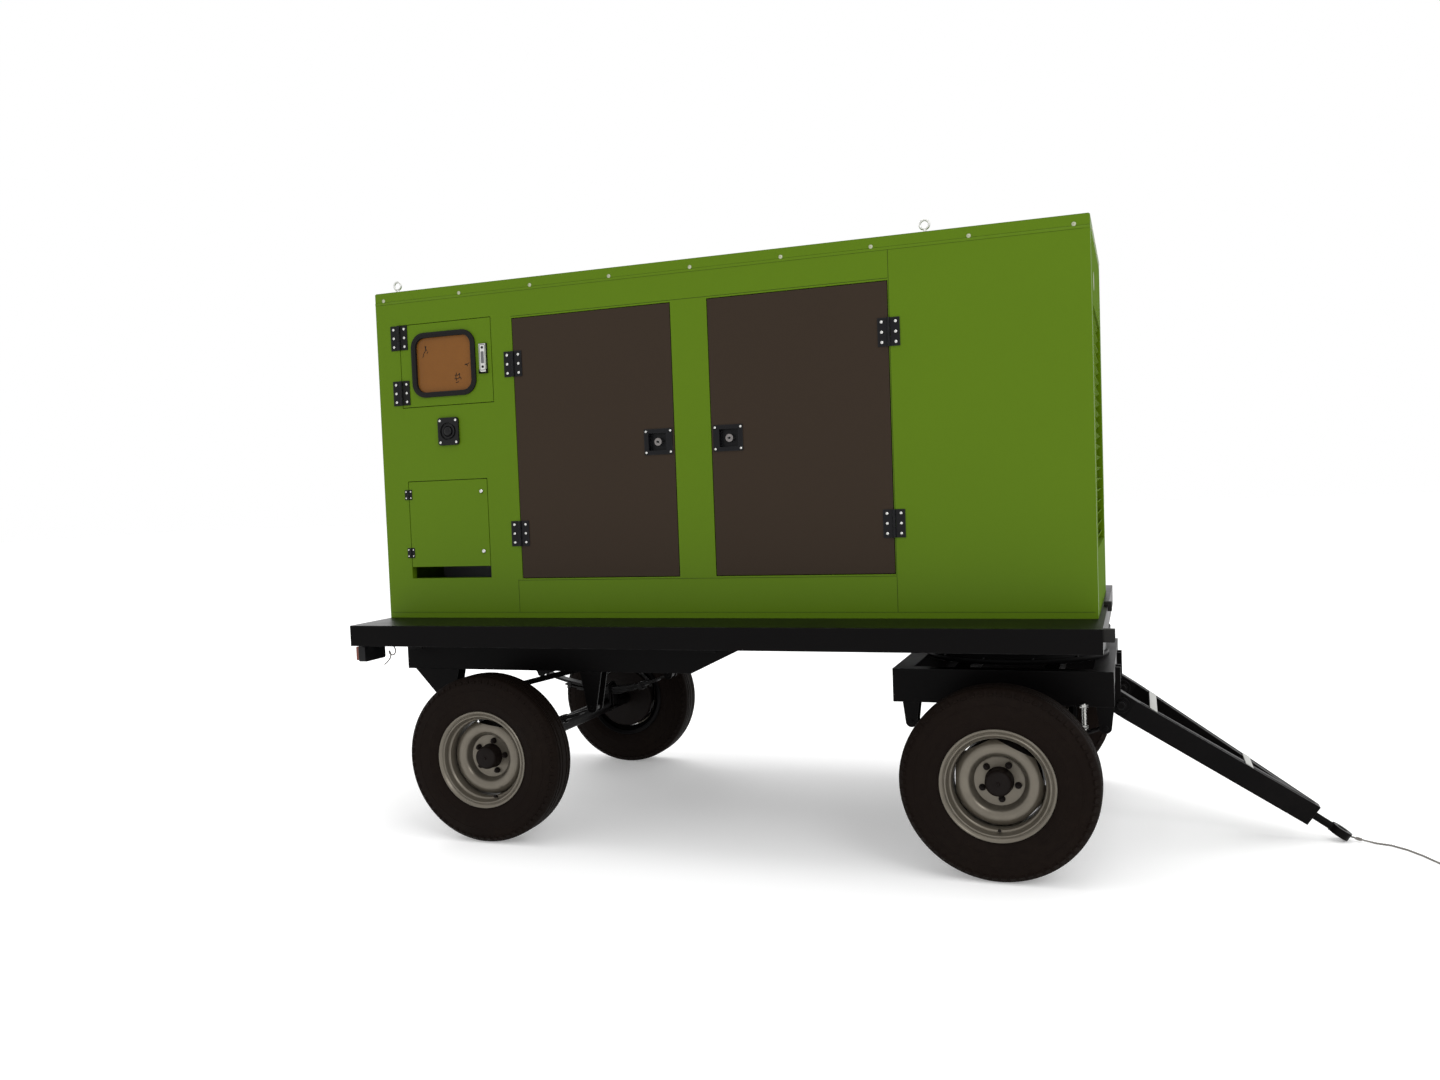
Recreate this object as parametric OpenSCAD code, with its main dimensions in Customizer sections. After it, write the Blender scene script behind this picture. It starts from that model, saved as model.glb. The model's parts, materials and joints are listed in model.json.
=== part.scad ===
// Towable diesel generator: a silenced canopy on a four-wheel turntable trailer.
// x runs forward from the canopy's rear face, y is zero on the centre plane, z is zero on the ground.
// place() then moves everything so that the origin is midway between lamps and tow eye.

/* [Canopy] */
// Length of the canopy
canopy_l = 3280; // [3260:10:3400]
// Width of the canopy
canopy_w = 1200; // [1160:10:1300]
// Height of the canopy above the deck
canopy_h = 1580; // [1560:10:1700]
// Thickness of the lined canopy walls
wall_t = 40; // [40:1:50]
// Thickness of the roof lid
roof_t = 42; // [30:1:60]
// Width of the four service doors
door_w = 790; // [760:5:800]
// Height of the four service doors
door_h = 1216; // [1200:4:1240]
// Running gap round each door
door_gap = 3; // [2:0.5:4]

/* [Trailer] */
// Height of the deck's top above the ground
deck_z = 990; // [985:1:1010]
// Width of the deck
deck_w = 1884; // [1840:4:1960]
// Length of the deck
deck_l = 3303; // [3290:1:3340]
// Depth of the deck's edge channel
deck_d = 96; // [90:2:100]
// Distance between left and right springs
spring_track = 1000; // [960:10:1060]

/* [Wheels] */
// Outer radius of the tyres
tyre_r = 380; // [378:1:382]
// Section width of the tyres
tyre_w = 190; // [180:2:200]
// Distance between left and right wheel centres
wheel_track = 1678; // [1660:2:1700]
// Place of the rear axle along the deck
rear_axle_x = 656; // [640:2:680]
// Place of the front axle and of the turntable
front_axle_x = 2910; // [2890:2:2920]

/* [Drawbar] */
// Angle of the lowered drawbar below the horizontal
drop = 33.5; // [33:0.1:34]
// Height of the drawbar's hinge above the ground
pivot_z = 590; // [585:1:595]
// Place of the drawbar's hinge along the trailer
pivot_x = 3350; // [3346:1:3354]
// Radius of the hole in the tow eye
eye_bore_r = 21; // [18:0.5:24]

/* [Hidden] */
$fn = 48;

// shared fits and sheet sizes
fit = 0.05;
tiny = 0.2;
half_w = canopy_w / 2;
in_w = canopy_w - 2 * wall_t;
roof_z = deck_z + canopy_h - roof_t;

// tow eye, laid on the ground by the lowered drawbar
eye_r = 42;
eye_t = 34;
arm_l = 884;
ground_gap = 0.3;
eye_lift = eye_r * sin(drop) + eye_t / 2 * cos(drop) + ground_gap;
eye_reach = (pivot_z - eye_lift) / sin(drop);
eye_tip_x = pivot_x + (eye_reach + eye_r) * cos(drop) + eye_t / 2 * sin(drop);

// top of the base tank, which carries the set
tank_top = deck_z + 160;

// tail lamps set the rear end of the row
lamp_back = 35;
mid_x = (eye_tip_x - lamp_back) / 2;

// doors: one opens from its rear edge, the other from its front edge
rear_door_x = 740;
front_door_x = 1700;
door_z = 1176;
door_t = 36;
door_hinge_dz = 212;

// control door and its window
control_x = 127;
control_z = 2010;
control_w = 503;
control_h = 400;
window_x = 91;
window_z = 68;
window_w = 301;
window_h = 261;
window_r = 46;
seal_lip = 24;

// outlet door with the cable slot under it
outlet_x = 136;
outlet_z = 1235;
outlet_w = 438;
outlet_h = 420;
slot_h = 53;

// stop button
stop_x = 380;
stop_z = 1886;

// hinges
barrel_r = 7;
leaf_t = 4;
hinge_h = 118;
leaf_w = 46;
small_barrel_r = 4;
small_hinge_h = 48;
small_leaf_w = 20;
small_leaf_t = 2.5;

// latch cup near the free edge of each door
cup_u = 82;
cup_z = 605;
cup_w = 135;
cup_h = 115;
cup_in_w = 92;
cup_in_h = 84;
cup_deep = 30;
latch_r = 14;

// sheet metal
rim_t = 4;
blade_t = 4;

// trailer frame
plate_t = 6;
steel_t = 6;
skin_t = 3;
rail_w = 70;
spring_y = spring_track / 2;
sub_z = 730;
bogie_z = 628;
bogie_top = 770;
bogie_x0 = 2450;
bogie_x1 = 3330;
ring_r = 380;
ring_in = 310;
ring_gap = 4;
ring_z = 830;

// springs
spring_half = 385;
leaf_thick = 8;
leaf_count = 5;
leaf_y = 60;
camber = 80;
spring_eye_r = 17;
spring_pin_r = 9;
front_eye_z = 545;
rear_eye_z = 560;

// axles and wheels
axle_z = tyre_r;
axle_r = 38;
spindle_r = 25;
wheel_y = wheel_track / 2;
seat_r = 203;
flange_r = 219;
rim_half = 84;
hub_r = 52;
stud_pcd = 139.7;
stud_count = 5;

// engine
crank_z = 1560;
fan_z = 1840;
head_z = 1800;
fan_x = 2440;
fan_r = 320;
fan_pulley_r = 75;
crank_pulley_r = 100;
pipe_r = 38;
muffler_z = 2350;
manifold_top = 1738;
tail_pipe_y = -300;

// rope tied to the tow eye and lying on the ground
rope_r = 4;
rope_route = [
    [4205, 0, 24], [4222, -2, 20], [4245, -8, 14], [4275, -16, 9], [4310, -26, 4.2],
    [4361, -44, 4.2], [4410, -96, 4.2], [4450, -166, 4.2], [4482, -240, 4.2],
    [4520, -330, 4.2], [4568, -420, 4.2], [4630, -500, 4.2], [4700, -560, 4.2]
];

black = [0.05, 0.05, 0.055];
green = [0.36, 0.5, 0.1];
brown = [0.22, 0.19, 0.17];
silver = [0.75, 0.75, 0.74];
rubber = [0.07, 0.065, 0.06];

module place() {
    translate([-mid_x, 0, 0]) children();
}

// a box from its low corner to its high corner
module span(low, high) {
    translate(low) cube(high - low);
}

// both sides of the centre plane
module both_sides() {
    children();
    mirror([0, 1, 0]) children();
}

// a closed box section with walls of thickness t
module box_section(low, high, t) {
    difference() {
        span(low, high);
        span(low + [t, t, t], high - [t, t, t]);
    }
}

// a cylinder along Y, centred on its middle
module along_y(r, l) {
    rotate([90, 0, 0]) cylinder(r = r, h = l, center = true);
}

// a cylinder along X from its low end
module along_x(r, l) {
    rotate([0, 90, 0]) cylinder(r = r, h = l);
}

// a plate in the XZ plane with true round corners, from y = 0 to y = t
module round_plate(w, h, t, r) {
    rotate([90, 0, 0]) translate([0, 0, -t]) linear_extrude(t) {
        translate([r, 0]) square([w - 2 * r, h]);
        translate([0, r]) square([w, h - 2 * r]);
        for (x = [r, w - r], z = [r, h - r]) translate([x, z]) circle(r);
    }
}

// ---- trailer deck and running gear ----

module edge_channel(l) {
    // web on the outside, flanges inward, running along X
    web_t = 7;
    flange = 46;
    span([0, -deck_w / 2, deck_z - deck_d], [l, -deck_w / 2 + web_t, deck_z - plate_t]);
    span([0, -deck_w / 2, deck_z - deck_d], [l, -deck_w / 2 + flange, deck_z - deck_d + web_t]);
}

module deck_frame() {
    end_t = 7;
    cross_w = 60;
    low = deck_z - deck_d;
    color(black) place() {
        span([0, -deck_w / 2, deck_z - plate_t], [deck_l, deck_w / 2, deck_z]);
        both_sides() edge_channel(deck_l);
        for (x = [0, deck_l - end_t])
            span([x, -deck_w / 2, low], [x + end_t, deck_w / 2, deck_z]);
        both_sides() box_section([0, spring_y - rail_w / 2, low],
            [deck_l, spring_y + rail_w / 2, deck_z], steel_t);
        for (x = [340, 960, 1580, 2200, front_axle_x - 350, front_axle_x + 290])
            for (y = [-deck_w / 2, -spring_y, spring_y]) box_section([x, y, low],
                [x + cross_w, y == -spring_y ? spring_y : y + deck_w / 2 - spring_y, deck_z],
                steel_t);
    }
}

// a plate hanger with a pin through the spring's eye; feet gives the top edge's ends
module hanger(eye, feet, top) {
    ear_t = 8;
    eye_pad = 24;
    pin_l = leaf_y + 2 * ear_t + 12;
    for (side = [-1, 1])
        translate([0, side * (leaf_y / 2 + ear_t / 2 + 1), 0]) rotate([90, 0, 0])
            linear_extrude(ear_t, center = true) {
                polygon([
                    [feet[0], top], [feet[1], top],
                    [eye[0] + eye_pad, eye[1]], [eye[0] - eye_pad, eye[1]]
                ]);
                translate(eye) circle(eye_pad);
            }
    translate([eye[0], 0, eye[1]]) along_y(spring_pin_r - fit, pin_l);
}

module rear_subframe() {
    rail_x0 = 44;
    rail_x1 = 1540;
    nose_x = 1885;
    top = deck_z - deck_d;
    brace_x = 950;
    brace_y = spring_y - leaf_y / 2 - 22;
    brace_h = 26;
    eye_back = rear_axle_x - spring_half;
    eye_front = rear_axle_x + spring_half;
    brace_a = atan2(sub_z - rear_eye_z, brace_x - eye_back);
    color(black) place() {
        both_sides() translate([0, spring_y, 0]) rotate([90, 0, 0]) difference() {
            linear_extrude(rail_w, center = true)
                polygon([[rail_x0, top], [rail_x0, sub_z], [rail_x1, sub_z], [nose_x, top]]);
            linear_extrude(rail_w - 2 * steel_t, center = true) polygon([
                [rail_x0 + steel_t, top - steel_t], [rail_x0 + steel_t, sub_z + steel_t],
                [rail_x1 - steel_t, sub_z + steel_t], [nose_x - 5 * steel_t, top - steel_t]
            ]);
        }
        for (x = [100, 1180]) box_section([x, rail_w / 2 - spring_y, sub_z + 20],
            [x + 70, spring_y - rail_w / 2, top], steel_t);
        both_sides() translate([0, spring_y, 0]) {
            hanger([eye_back, rear_eye_z], [90, 330], sub_z);
            hanger([eye_front, rear_eye_z], [eye_front - 55, eye_front + 55], sub_z);
        }
        both_sides() translate([eye_back, brace_y, rear_eye_z]) rotate([0, -brace_a, 0])
            translate([0, 0, -brace_h / 2])
                cube([(brace_x - eye_back) / cos(brace_a), 14, brace_h]);
    }
}

module turntable_upper_ring() {
    bolt_r = 8;
    color(black) place() translate([front_axle_x, 0, 0]) difference() {
        union() {
            translate([0, 0, ring_z + ring_gap]) cylinder(r = ring_r, h = 40, $fn = 96);
            translate([0, 0, deck_z - deck_d - 20]) cylinder(r = ring_r + 20, h = 20, $fn = 96);
        }
        translate([0, 0, ring_z]) cylinder(r = ring_in, h = 90, $fn = 96);
        for (a = [15:30:345]) rotate(a) translate([ring_r - 35, 0, ring_z])
            cylinder(r = bolt_r, h = 90);
    }
}

module turntable_lower_ring() {
    groove_r = 345;
    color(black) place() translate([front_axle_x, 0, 0]) difference() {
        union() {
            translate([0, 0, bogie_top]) cylinder(r = ring_r + 12, h = 22, $fn = 96);
            translate([0, 0, bogie_top]) cylinder(r = ring_r, h = ring_z - bogie_top, $fn = 96);
        }
        translate([0, 0, bogie_top - 1]) cylinder(r = ring_in, h = 90, $fn = 96);
        rotate_extrude($fn = 96) translate([groove_r, ring_z]) circle(10);
    }
}

module bogie_frame() {
    beam = 80;
    lug_t = 12;
    lug_gap = 62;
    lug_r = 34;
    lug_y = 222;
    color(black) place() {
        both_sides() box_section([bogie_x0, spring_y - rail_w / 2, bogie_z],
            [bogie_x1, spring_y + rail_w / 2, bogie_top], steel_t);
        for (b = [[bogie_x0, bogie_z], [bogie_x1 - beam, pivot_z + 110]])
            box_section([b[0], rail_w / 2 - spring_y, b[1]],
                [b[0] + beam, spring_y - rail_w / 2, bogie_top], steel_t);
        for (x = [front_axle_x - 210, front_axle_x + 150])
            box_section([x, rail_w / 2 - spring_y, bogie_top - 60],
                [x + 60, spring_y - rail_w / 2, bogie_top], steel_t);
        both_sides() translate([0, spring_y, 0])
            for (x = [front_axle_x - spring_half, front_axle_x + spring_half])
                hanger([x, front_eye_z], [x - 34, x + 34], bogie_z);
        both_sides() translate([pivot_x, lug_y, pivot_z]) {
            for (y = [-1, 1]) translate([0, y * (lug_gap + lug_t) / 2, 0]) {
                along_y(lug_r, lug_t);
                span([-100, -lug_t / 2, 0], [0, lug_t / 2, bogie_top - pivot_z - 20]);
            }
            along_y(14 - fit, lug_gap + 2 * lug_t + 14);
        }
    }
}

module axle(x, seat_z) {
    shoulder = wheel_y - 98;
    pad = 100;
    color(black) place() translate([x, 0, axle_z]) {
        along_y(axle_r, 2 * shoulder);
        along_y(spindle_r - fit, 2 * (wheel_y + 40));
        both_sides() span([-pad / 2, spring_y - leaf_y / 2, 0],
            [pad / 2, spring_y + leaf_y / 2, seat_z - axle_z]);
    }
}

// underside of the leaf stack, where it sits on the axle's pad
function seat_under(eye_z) = eye_z - camber - leaf_thick * (leaf_count - 0.5);

module front_axle() axle(front_axle_x, seat_under(front_eye_z));
module rear_axle() axle(rear_axle_x, seat_under(rear_eye_z));

// one leaf: a curved strip, lowest in the middle
module leaf(i, eye_z) {
    stations = 10;
    last = stations - 2 * i;
    middle = eye_z - camber - i * leaf_thick;
    top = [for (k = [-last:last]) [spring_half * k / stations,
        middle + camber * pow(k / stations, 2) + leaf_thick / 2]];
    under = [for (k = [last:-1:-last]) [spring_half * k / stations,
        middle + camber * pow(k / stations, 2) - leaf_thick / 2]];
    rotate([90, 0, 0]) linear_extrude(leaf_y, center = true) polygon(concat(top, under));
}

module leaf_springs(x, eye_z) {
    clamp_t = 12;
    top = eye_z - camber + leaf_thick / 2;
    color(black) place() both_sides() translate([x, spring_y, 0]) {
        difference() {
            union() {
                for (i = [0:leaf_count - 1]) leaf(i, eye_z);
                for (side = [-1, 1]) translate([side * spring_half, 0, eye_z])
                    along_y(spring_eye_r, leaf_y);
                span([-48, -leaf_y / 2, top - 2], [48, leaf_y / 2, top + clamp_t]);
            }
            for (side = [-1, 1]) translate([side * spring_half, 0, eye_z])
                along_y(spring_pin_r, leaf_y + 2);
        }
    }
}

module front_leaf_springs() leaf_springs(front_axle_x, front_eye_z);
module rear_leaf_springs() leaf_springs(rear_axle_x, rear_eye_z);

module wheel_place(x, left) {
    place() mirror([0, left ? 1 : 0, 0]) translate([x, -wheel_y, axle_z])
        rotate([90, 0, 0]) children();
}

// profiles are [radius, outward offset from the wheel's centre plane]
module tyre() {
    tread_half = tyre_w / 2 - 22;
    bulge = tyre_w / 2;
    color(rubber) rotate_extrude($fn = 128) polygon([
        [seat_r + tiny, -60], [flange_r + 1, -78], [flange_r + 30, -bulge + 5],
        [295, -bulge], [340, -bulge + 6], [368, -tread_half - 4], [tyre_r - 3, -tread_half + 10],
        [tyre_r, -tread_half + 30], [tyre_r, tread_half - 30],
        [tyre_r - 3, tread_half - 10], [368, tread_half + 4], [340, bulge - 6], [295, bulge],
        [flange_r + 30, bulge - 5], [flange_r + 1, 78], [seat_r + tiny, 60],
        [seat_r + tiny, 44], [flange_r + 22, bulge - 20], [295, bulge - 12], [340, bulge - 20],
        [tyre_r - 20, tread_half - 26], [tyre_r - 20, 26 - tread_half], [340, 20 - bulge],
        [295, 12 - bulge], [flange_r + 22, 20 - bulge], [seat_r + tiny, -44]
    ]);
}

module rim() {
    disc_y = 12;
    color(silver) difference() {
        union() {
            rotate_extrude($fn = 96) polygon([
                [flange_r, -rim_half], [flange_r, -rim_half + 6], [seat_r, -rim_half + 12],
                [seat_r, -50], [180, -36], [180, 10], [seat_r, 40], [seat_r, rim_half - 12],
                [flange_r, rim_half - 6], [flange_r, rim_half], [seat_r - 4, rim_half],
                [seat_r - 8, 42], [174, 14], [174, -38], [seat_r - 8, -52], [seat_r - 4, -rim_half]
            ]);
            rotate_extrude($fn = 96) polygon([
                [40, disc_y - 26], [105, disc_y - 26], [118, disc_y + 18], [150, disc_y + 18],
                [176, disc_y - 6], [176, disc_y - 14], [152, disc_y + 8], [122, disc_y + 8],
                [110, disc_y - 34], [40, disc_y - 34]
            ]);
            translate([0, 0, -96]) cylinder(r = hub_r, h = 150);
            translate([0, 0, -96]) cylinder(r = 108, h = 66);
            for (i = [0:stud_count - 1]) rotate(i * 360 / stud_count - 90)
                translate([stud_pcd / 2, 0, -24]) cylinder(r = 11, h = 28, $fn = 6);
        }
        translate([0, 0, -97]) cylinder(r = spindle_r, h = 97 + 42);
    }
}

module tyre_front_right() wheel_place(front_axle_x, false) tyre();
module tyre_front_left() wheel_place(front_axle_x, true) tyre();
module tyre_rear_right() wheel_place(rear_axle_x, false) tyre();
module tyre_rear_left() wheel_place(rear_axle_x, true) tyre();
module rim_front_right() wheel_place(front_axle_x, false) rim();
module rim_front_left() wheel_place(front_axle_x, true) rim();
module rim_rear_right() wheel_place(rear_axle_x, false) rim();
module rim_rear_left() wheel_place(rear_axle_x, true) rim();

// ---- drawbar ----

module on_drawbar() {
    place() translate([pivot_x, 0, pivot_z]) rotate([0, drop, 0]) children();
}

module drawbar() {
    arm_y = 222;
    arm_w = 56;
    depth = 92;
    tail = -92;
    bar_w = 34;
    color(black) on_drawbar() difference() {
        union() {
            both_sides() translate([0, 0, -depth / 2]) linear_extrude(depth) polygon([
                [tail, arm_y + arm_w / 2], [tail, arm_y - arm_w / 2], [44, arm_y - arm_w / 2],
                [700, 0], [arm_l, 0], [arm_l, 30], [44, arm_y + arm_w / 2]
            ]);
            for (x = [120, 560]) {
                reach = arm_y + 24 - (arm_y - 4) * x / arm_l;
                span([x - bar_w / 2, -reach, depth / 2 - 12], [x + bar_w / 2, reach, depth / 2]);
            }
        }
        for (side = [-1, 1]) translate([0, side * arm_y, 0]) along_y(14, arm_w + 2);
    }
}

module tow_eye() {
    shaft_r = 16;
    color(black) on_drawbar() difference() {
        union() {
            translate([arm_l, 0, 0]) along_x(shaft_r, eye_reach - arm_l);
            translate([eye_reach, 0, -eye_t / 2]) cylinder(r = eye_r, h = eye_t);
        }
        translate([eye_reach, 0, -eye_t]) cylinder(r = eye_bore_r, h = 2 * eye_t);
    }
}

// rope: rings of points swept along the hand-set route
function unit(v) = v / norm(v);
function heading(p, i) = unit(p[min(i + 1, len(p) - 1)] - p[max(i - 1, 0)]);
function midpoint_route(p) = [for (i = [0:len(p) - 2], t = [0:4])
    p[i] * (1 - t / 5) + p[i + 1] * t / 5];
module tow_rope() {
    sides = 8;
    p = concat(midpoint_route(rope_route), [rope_route[len(rope_route) - 1]]);
    ring = [for (i = [0:len(p) - 1]) let(
        d = heading(p, i), across = unit(cross([0, 0, 1], d)), up = cross(d, across))
        for (k = [0:sides - 1]) p[i] + rope_r * (cos(360 * k / sides) * across
            + sin(360 * k / sides) * up)];
    n = len(p);
    faces = concat(
        [[for (k = [0:sides - 1]) k]],
        [for (i = [0:n - 2], k = [0:sides - 1]) let(m = (k + 1) % sides)
            [i * sides + k, (i + 1) * sides + k, (i + 1) * sides + m, i * sides + m]],
        [[for (k = [sides - 1:-1:0]) (n - 1) * sides + k]]);
    color(silver) place() polyhedron(ring, faces);
}

// ---- base, lamps and canopy shell ----

module tail_lights() {
    lamp_w = 170;
    lamp_h = 78;
    lamp_y = 700;
    under = deck_z - deck_d;
    color([0.5, 0.05, 0.04]) place() both_sides() {
        span([-lamp_back, lamp_y, under - 8 - lamp_h], [26, lamp_y + lamp_w, under - 8]);
        span([-20, lamp_y + 20, under - 8], [90, lamp_y + lamp_w - 20, under]);
    }
}

module base_tank() {
    margin = 4;
    foot_h = 26;
    color(black) place() {
        box_section([wall_t + margin, -in_w / 2 + margin, deck_z + foot_h],
            [canopy_l - wall_t - margin, in_w / 2 - margin, tank_top], steel_t);
        both_sides() box_section([wall_t + margin, in_w / 2 - 90, deck_z],
            [canopy_l - wall_t - margin, in_w / 2 - margin, deck_z + foot_h], 5);
    }
}

// a folded sheet wall: thin skin outside, deep rims round its edge and round each opening
module side_panel(openings) {
    face = -half_w;
    back = -half_w + wall_t;
    difference() {
        union() {
            span([0, face, deck_z], [canopy_l, face + skin_t, roof_z]);
            difference() {
                span([0, face, deck_z], [canopy_l, back, roof_z]);
                span([rim_t, face - 1, deck_z + rim_t], [canopy_l - rim_t, back + 1, roof_z - rim_t]);
            }
            for (o = openings) span([o[0] - rim_t, face, o[1] - rim_t],
                [o[0] + o[2] + rim_t, back, o[1] + o[3] + rim_t]);
        }
        for (o = openings)
            span([o[0], face - 1, o[1]], [o[0] + o[2], back + 1, o[1] + o[3]]);
    }
}

// openings as [x, z, width, height]
door_openings = [
    [rear_door_x, door_z, door_w, door_h], [front_door_x, door_z, door_w, door_h]
];
service_openings = [
    [control_x, control_z, control_w, control_h],
    [outlet_x, outlet_z - slot_h, outlet_w, outlet_h + slot_h]
];

module canopy_side_right() {
    color(green) place() difference() {
        side_panel(concat(door_openings, service_openings));
        translate([stop_x, -half_w, stop_z]) along_y(24, wall_t);
    }
}

module canopy_side_left() {
    color(green) place() mirror([0, 1, 0]) side_panel(door_openings);
}

// an end wall between the sides, with a louvred opening
module end_wall(open_w, z0, z1, blades) {
    pitch = (z1 - z0) / blades;
    edge_y = in_w / 2 - tiny;
    difference() {
        union() {
            span([0, -edge_y, deck_z], [skin_t, edge_y, roof_z]);
            difference() {
                span([0, -edge_y, deck_z], [wall_t, edge_y, roof_z]);
                span([-1, rim_t - edge_y, deck_z + rim_t],
                    [wall_t + 1, edge_y - rim_t, roof_z - rim_t]);
            }
            span([0, -open_w / 2 - rim_t, z0 - rim_t], [wall_t, open_w / 2 + rim_t, z1 + rim_t]);
        }
        span([-1, -open_w / 2, z0], [wall_t + 1, open_w / 2, z1]);
    }
    for (i = [0:blades - 1]) translate([wall_t / 2, 0, z0 + pitch * (i + 0.5)])
        rotate([0, 40, 0]) cube([wall_t - 8, open_w + 2, blade_t], center = true);
}

module canopy_front() {
    color(green) place() difference() {
        translate([canopy_l, 0, 0]) mirror([1, 0, 0]) end_wall(860, 1260, 2240, 20);
        translate([canopy_l - wall_t - 1, tail_pipe_y, muffler_z])
            along_x(pipe_r + 4, wall_t + 2);
    }
}

module canopy_rear() {
    color(green) place() end_wall(760, 1300, 2200, 18);
}

module canopy_roof() {
    color(green) place() difference() {
        span([0, -half_w, roof_z], [canopy_l, half_w, roof_z + roof_t]);
        span([rim_t, rim_t - half_w, roof_z - 1],
            [canopy_l - rim_t, half_w - rim_t, roof_z + roof_t - skin_t]);
    }
}

// the four eyes stand near the roof's long edges
eye_hole_r = 14;
lift_x = [106, 2641];
lift_y = half_w - 40;
lift_top = roof_z + roof_t;
module lifting_eyes() {
    ring_out = 24;
    ring_t = 11;
    stem = 20;
    color(silver) place() for (x = lift_x, y = [-lift_y, lift_y]) translate([x, y, lift_top]) {
        cylinder(r = 17, h = 7);
        cylinder(r = 8, h = stem);
        difference() {
            translate([0, 0, stem + ring_out - 6]) along_y(ring_out, ring_t);
            translate([0, 0, stem + ring_out - 6]) along_y(eye_hole_r, ring_t + 2);
        }
    }
}

// ---- hinges and doors ----

// fixed half: outer knuckles, leaf away from the door and the pin
module fixed_leaf(h, w, t, r) {
    knuckle = h / 3;
    gap = 0.5;
    translate([0, -r, -h / 2]) {
        cylinder(r = r, h = knuckle - gap);
        translate([0, 0, h - knuckle + gap]) cylinder(r = r, h = knuckle - gap);
        cylinder(r = r * 0.45, h = h);
    }
    span([-w, -t, -h / 2], [-r - gap, 0, h / 2]);
    for (z = [-h / 2, h / 2 - knuckle + gap])
        span([-r - gap, -t, z], [0, 0, z + knuckle - gap]);
}

// moving half: the middle knuckle, turning on the pin
module moving_leaf(h, w, t, r) {
    knuckle = h / 3;
    gap = 0.5;
    difference() {
        union() {
            translate([0, -r, -knuckle / 2 + gap]) cylinder(r = r, h = knuckle - 2 * gap);
            span([0, -t, -knuckle / 2 + gap], [r + gap, 0, knuckle / 2 - gap]);
        }
        translate([0, -r, -knuckle]) cylinder(r = r * 0.45 + fit, h = 2 * knuckle);
    }
    span([r + gap, -t, -h / 2], [w, 0, h / 2]);
}

// door frame: u from the hinge's axis to the free edge, outside towards -y, z from the bottom edge
module door_place(front, left) {
    place() mirror([0, left ? 1 : 0, 0])
        translate([front ? front_door_x + door_w : rear_door_x, -half_w, door_z])
            mirror([front ? 1 : 0, 0, 0]) children();
}

// a door folded from sheet: skin outside, rims turned inward all round
module pan(w, h, t) {
    low = door_gap;
    difference() {
        span([low, 0, low], [w - low, t, h - low]);
        span([low + rim_t, skin_t, low + rim_t], [w - low - rim_t, t + 1, h - low - rim_t]);
    }
}

module service_door() {
    color(brown) difference() {
        pan(door_w, door_h, door_t);
        span([door_w - cup_u - cup_in_w / 2 - tiny, -1, cup_z - cup_in_h / 2 - tiny],
            [door_w - cup_u + cup_in_w / 2 + tiny, door_t + 1, cup_z + cup_in_h / 2 + tiny]);
    }
}

module door_hardware() {
    cup_wall = 3;
    u0 = door_w - cup_u - cup_in_w / 2;
    z0 = cup_z - cup_in_h / 2;
    plate_u = door_w - cup_u + 4 - cup_w / 2;
    color(black) {
        for (z = [door_hinge_dz, door_h - door_hinge_dz])
            translate([0, 0, z]) moving_leaf(hinge_h, leaf_w, leaf_t, barrel_r);
        difference() {
            union() {
                span([plate_u, -leaf_t, cup_z - cup_h / 2],
                    [plate_u + cup_w, 0, cup_z + cup_h / 2]);
                span([u0, -leaf_t, z0], [u0 + cup_in_w, cup_deep, z0 + cup_in_h]);
            }
            span([u0 + cup_wall, -leaf_t - 1, z0 + cup_wall],
                [u0 + cup_in_w - cup_wall, cup_deep - cup_wall, z0 + cup_in_h - cup_wall]);
            translate([door_w - cup_u, cup_deep, cup_z]) along_y(latch_r, 20);
        }
    }
}

// key cylinder through the cup; its cam hangs down unlocked and turns up behind the jamb
module door_latch() {
    front_y = 4;
    cam_y = wall_t + 2;
    cam_t = 5;
    cam_l = 118;
    cam_w = 22;
    color(silver) translate([door_w - cup_u, 0, cup_z]) {
        translate([0, (front_y + cam_y + cam_t) / 2, 0])
            along_y(latch_r - fit, cam_y + cam_t - front_y);
        span([-cam_w / 2, cam_y, -cam_l], [cam_w / 2, cam_y + cam_t, 0]);
    }
}

module door_right_rear() door_place(false, false) service_door();
module door_right_front() door_place(true, false) service_door();
module door_left_rear() door_place(false, true) service_door();
module door_left_front() door_place(true, true) service_door();
module hardware_right_rear() door_place(false, false) door_hardware();
module hardware_right_front() door_place(true, false) door_hardware();
module hardware_left_rear() door_place(false, true) door_hardware();
module hardware_left_front() door_place(true, true) door_hardware();
module latch_right_rear() door_place(false, false) door_latch();
module latch_right_front() door_place(true, false) door_latch();
module latch_left_rear() door_place(false, true) door_latch();
module latch_left_front() door_place(true, true) door_latch();

control_hinge_z = [73, 339];
outlet_hinge_z = [72, 355];

module control_place() {
    place() translate([control_x, -half_w, control_z]) children();
}

module outlet_place() {
    place() translate([outlet_x, -half_w, outlet_z]) children();
}

module fixed_hinge_leaves() {
    color(black) {
        for (front = [false, true], left = [false, true]) door_place(front, left)
            for (z = [door_hinge_dz, door_h - door_hinge_dz])
                translate([0, 0, z]) fixed_leaf(hinge_h, leaf_w, leaf_t, barrel_r);
        control_place() for (z = control_hinge_z)
            translate([0, 0, z]) fixed_leaf(hinge_h, leaf_w, leaf_t, barrel_r);
        outlet_place() for (z = outlet_hinge_z) translate([0, 0, z])
            fixed_leaf(small_hinge_h, small_leaf_w, small_leaf_t, small_barrel_r);
    }
}

panel_t = 28;
seal_groove = 10;

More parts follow.
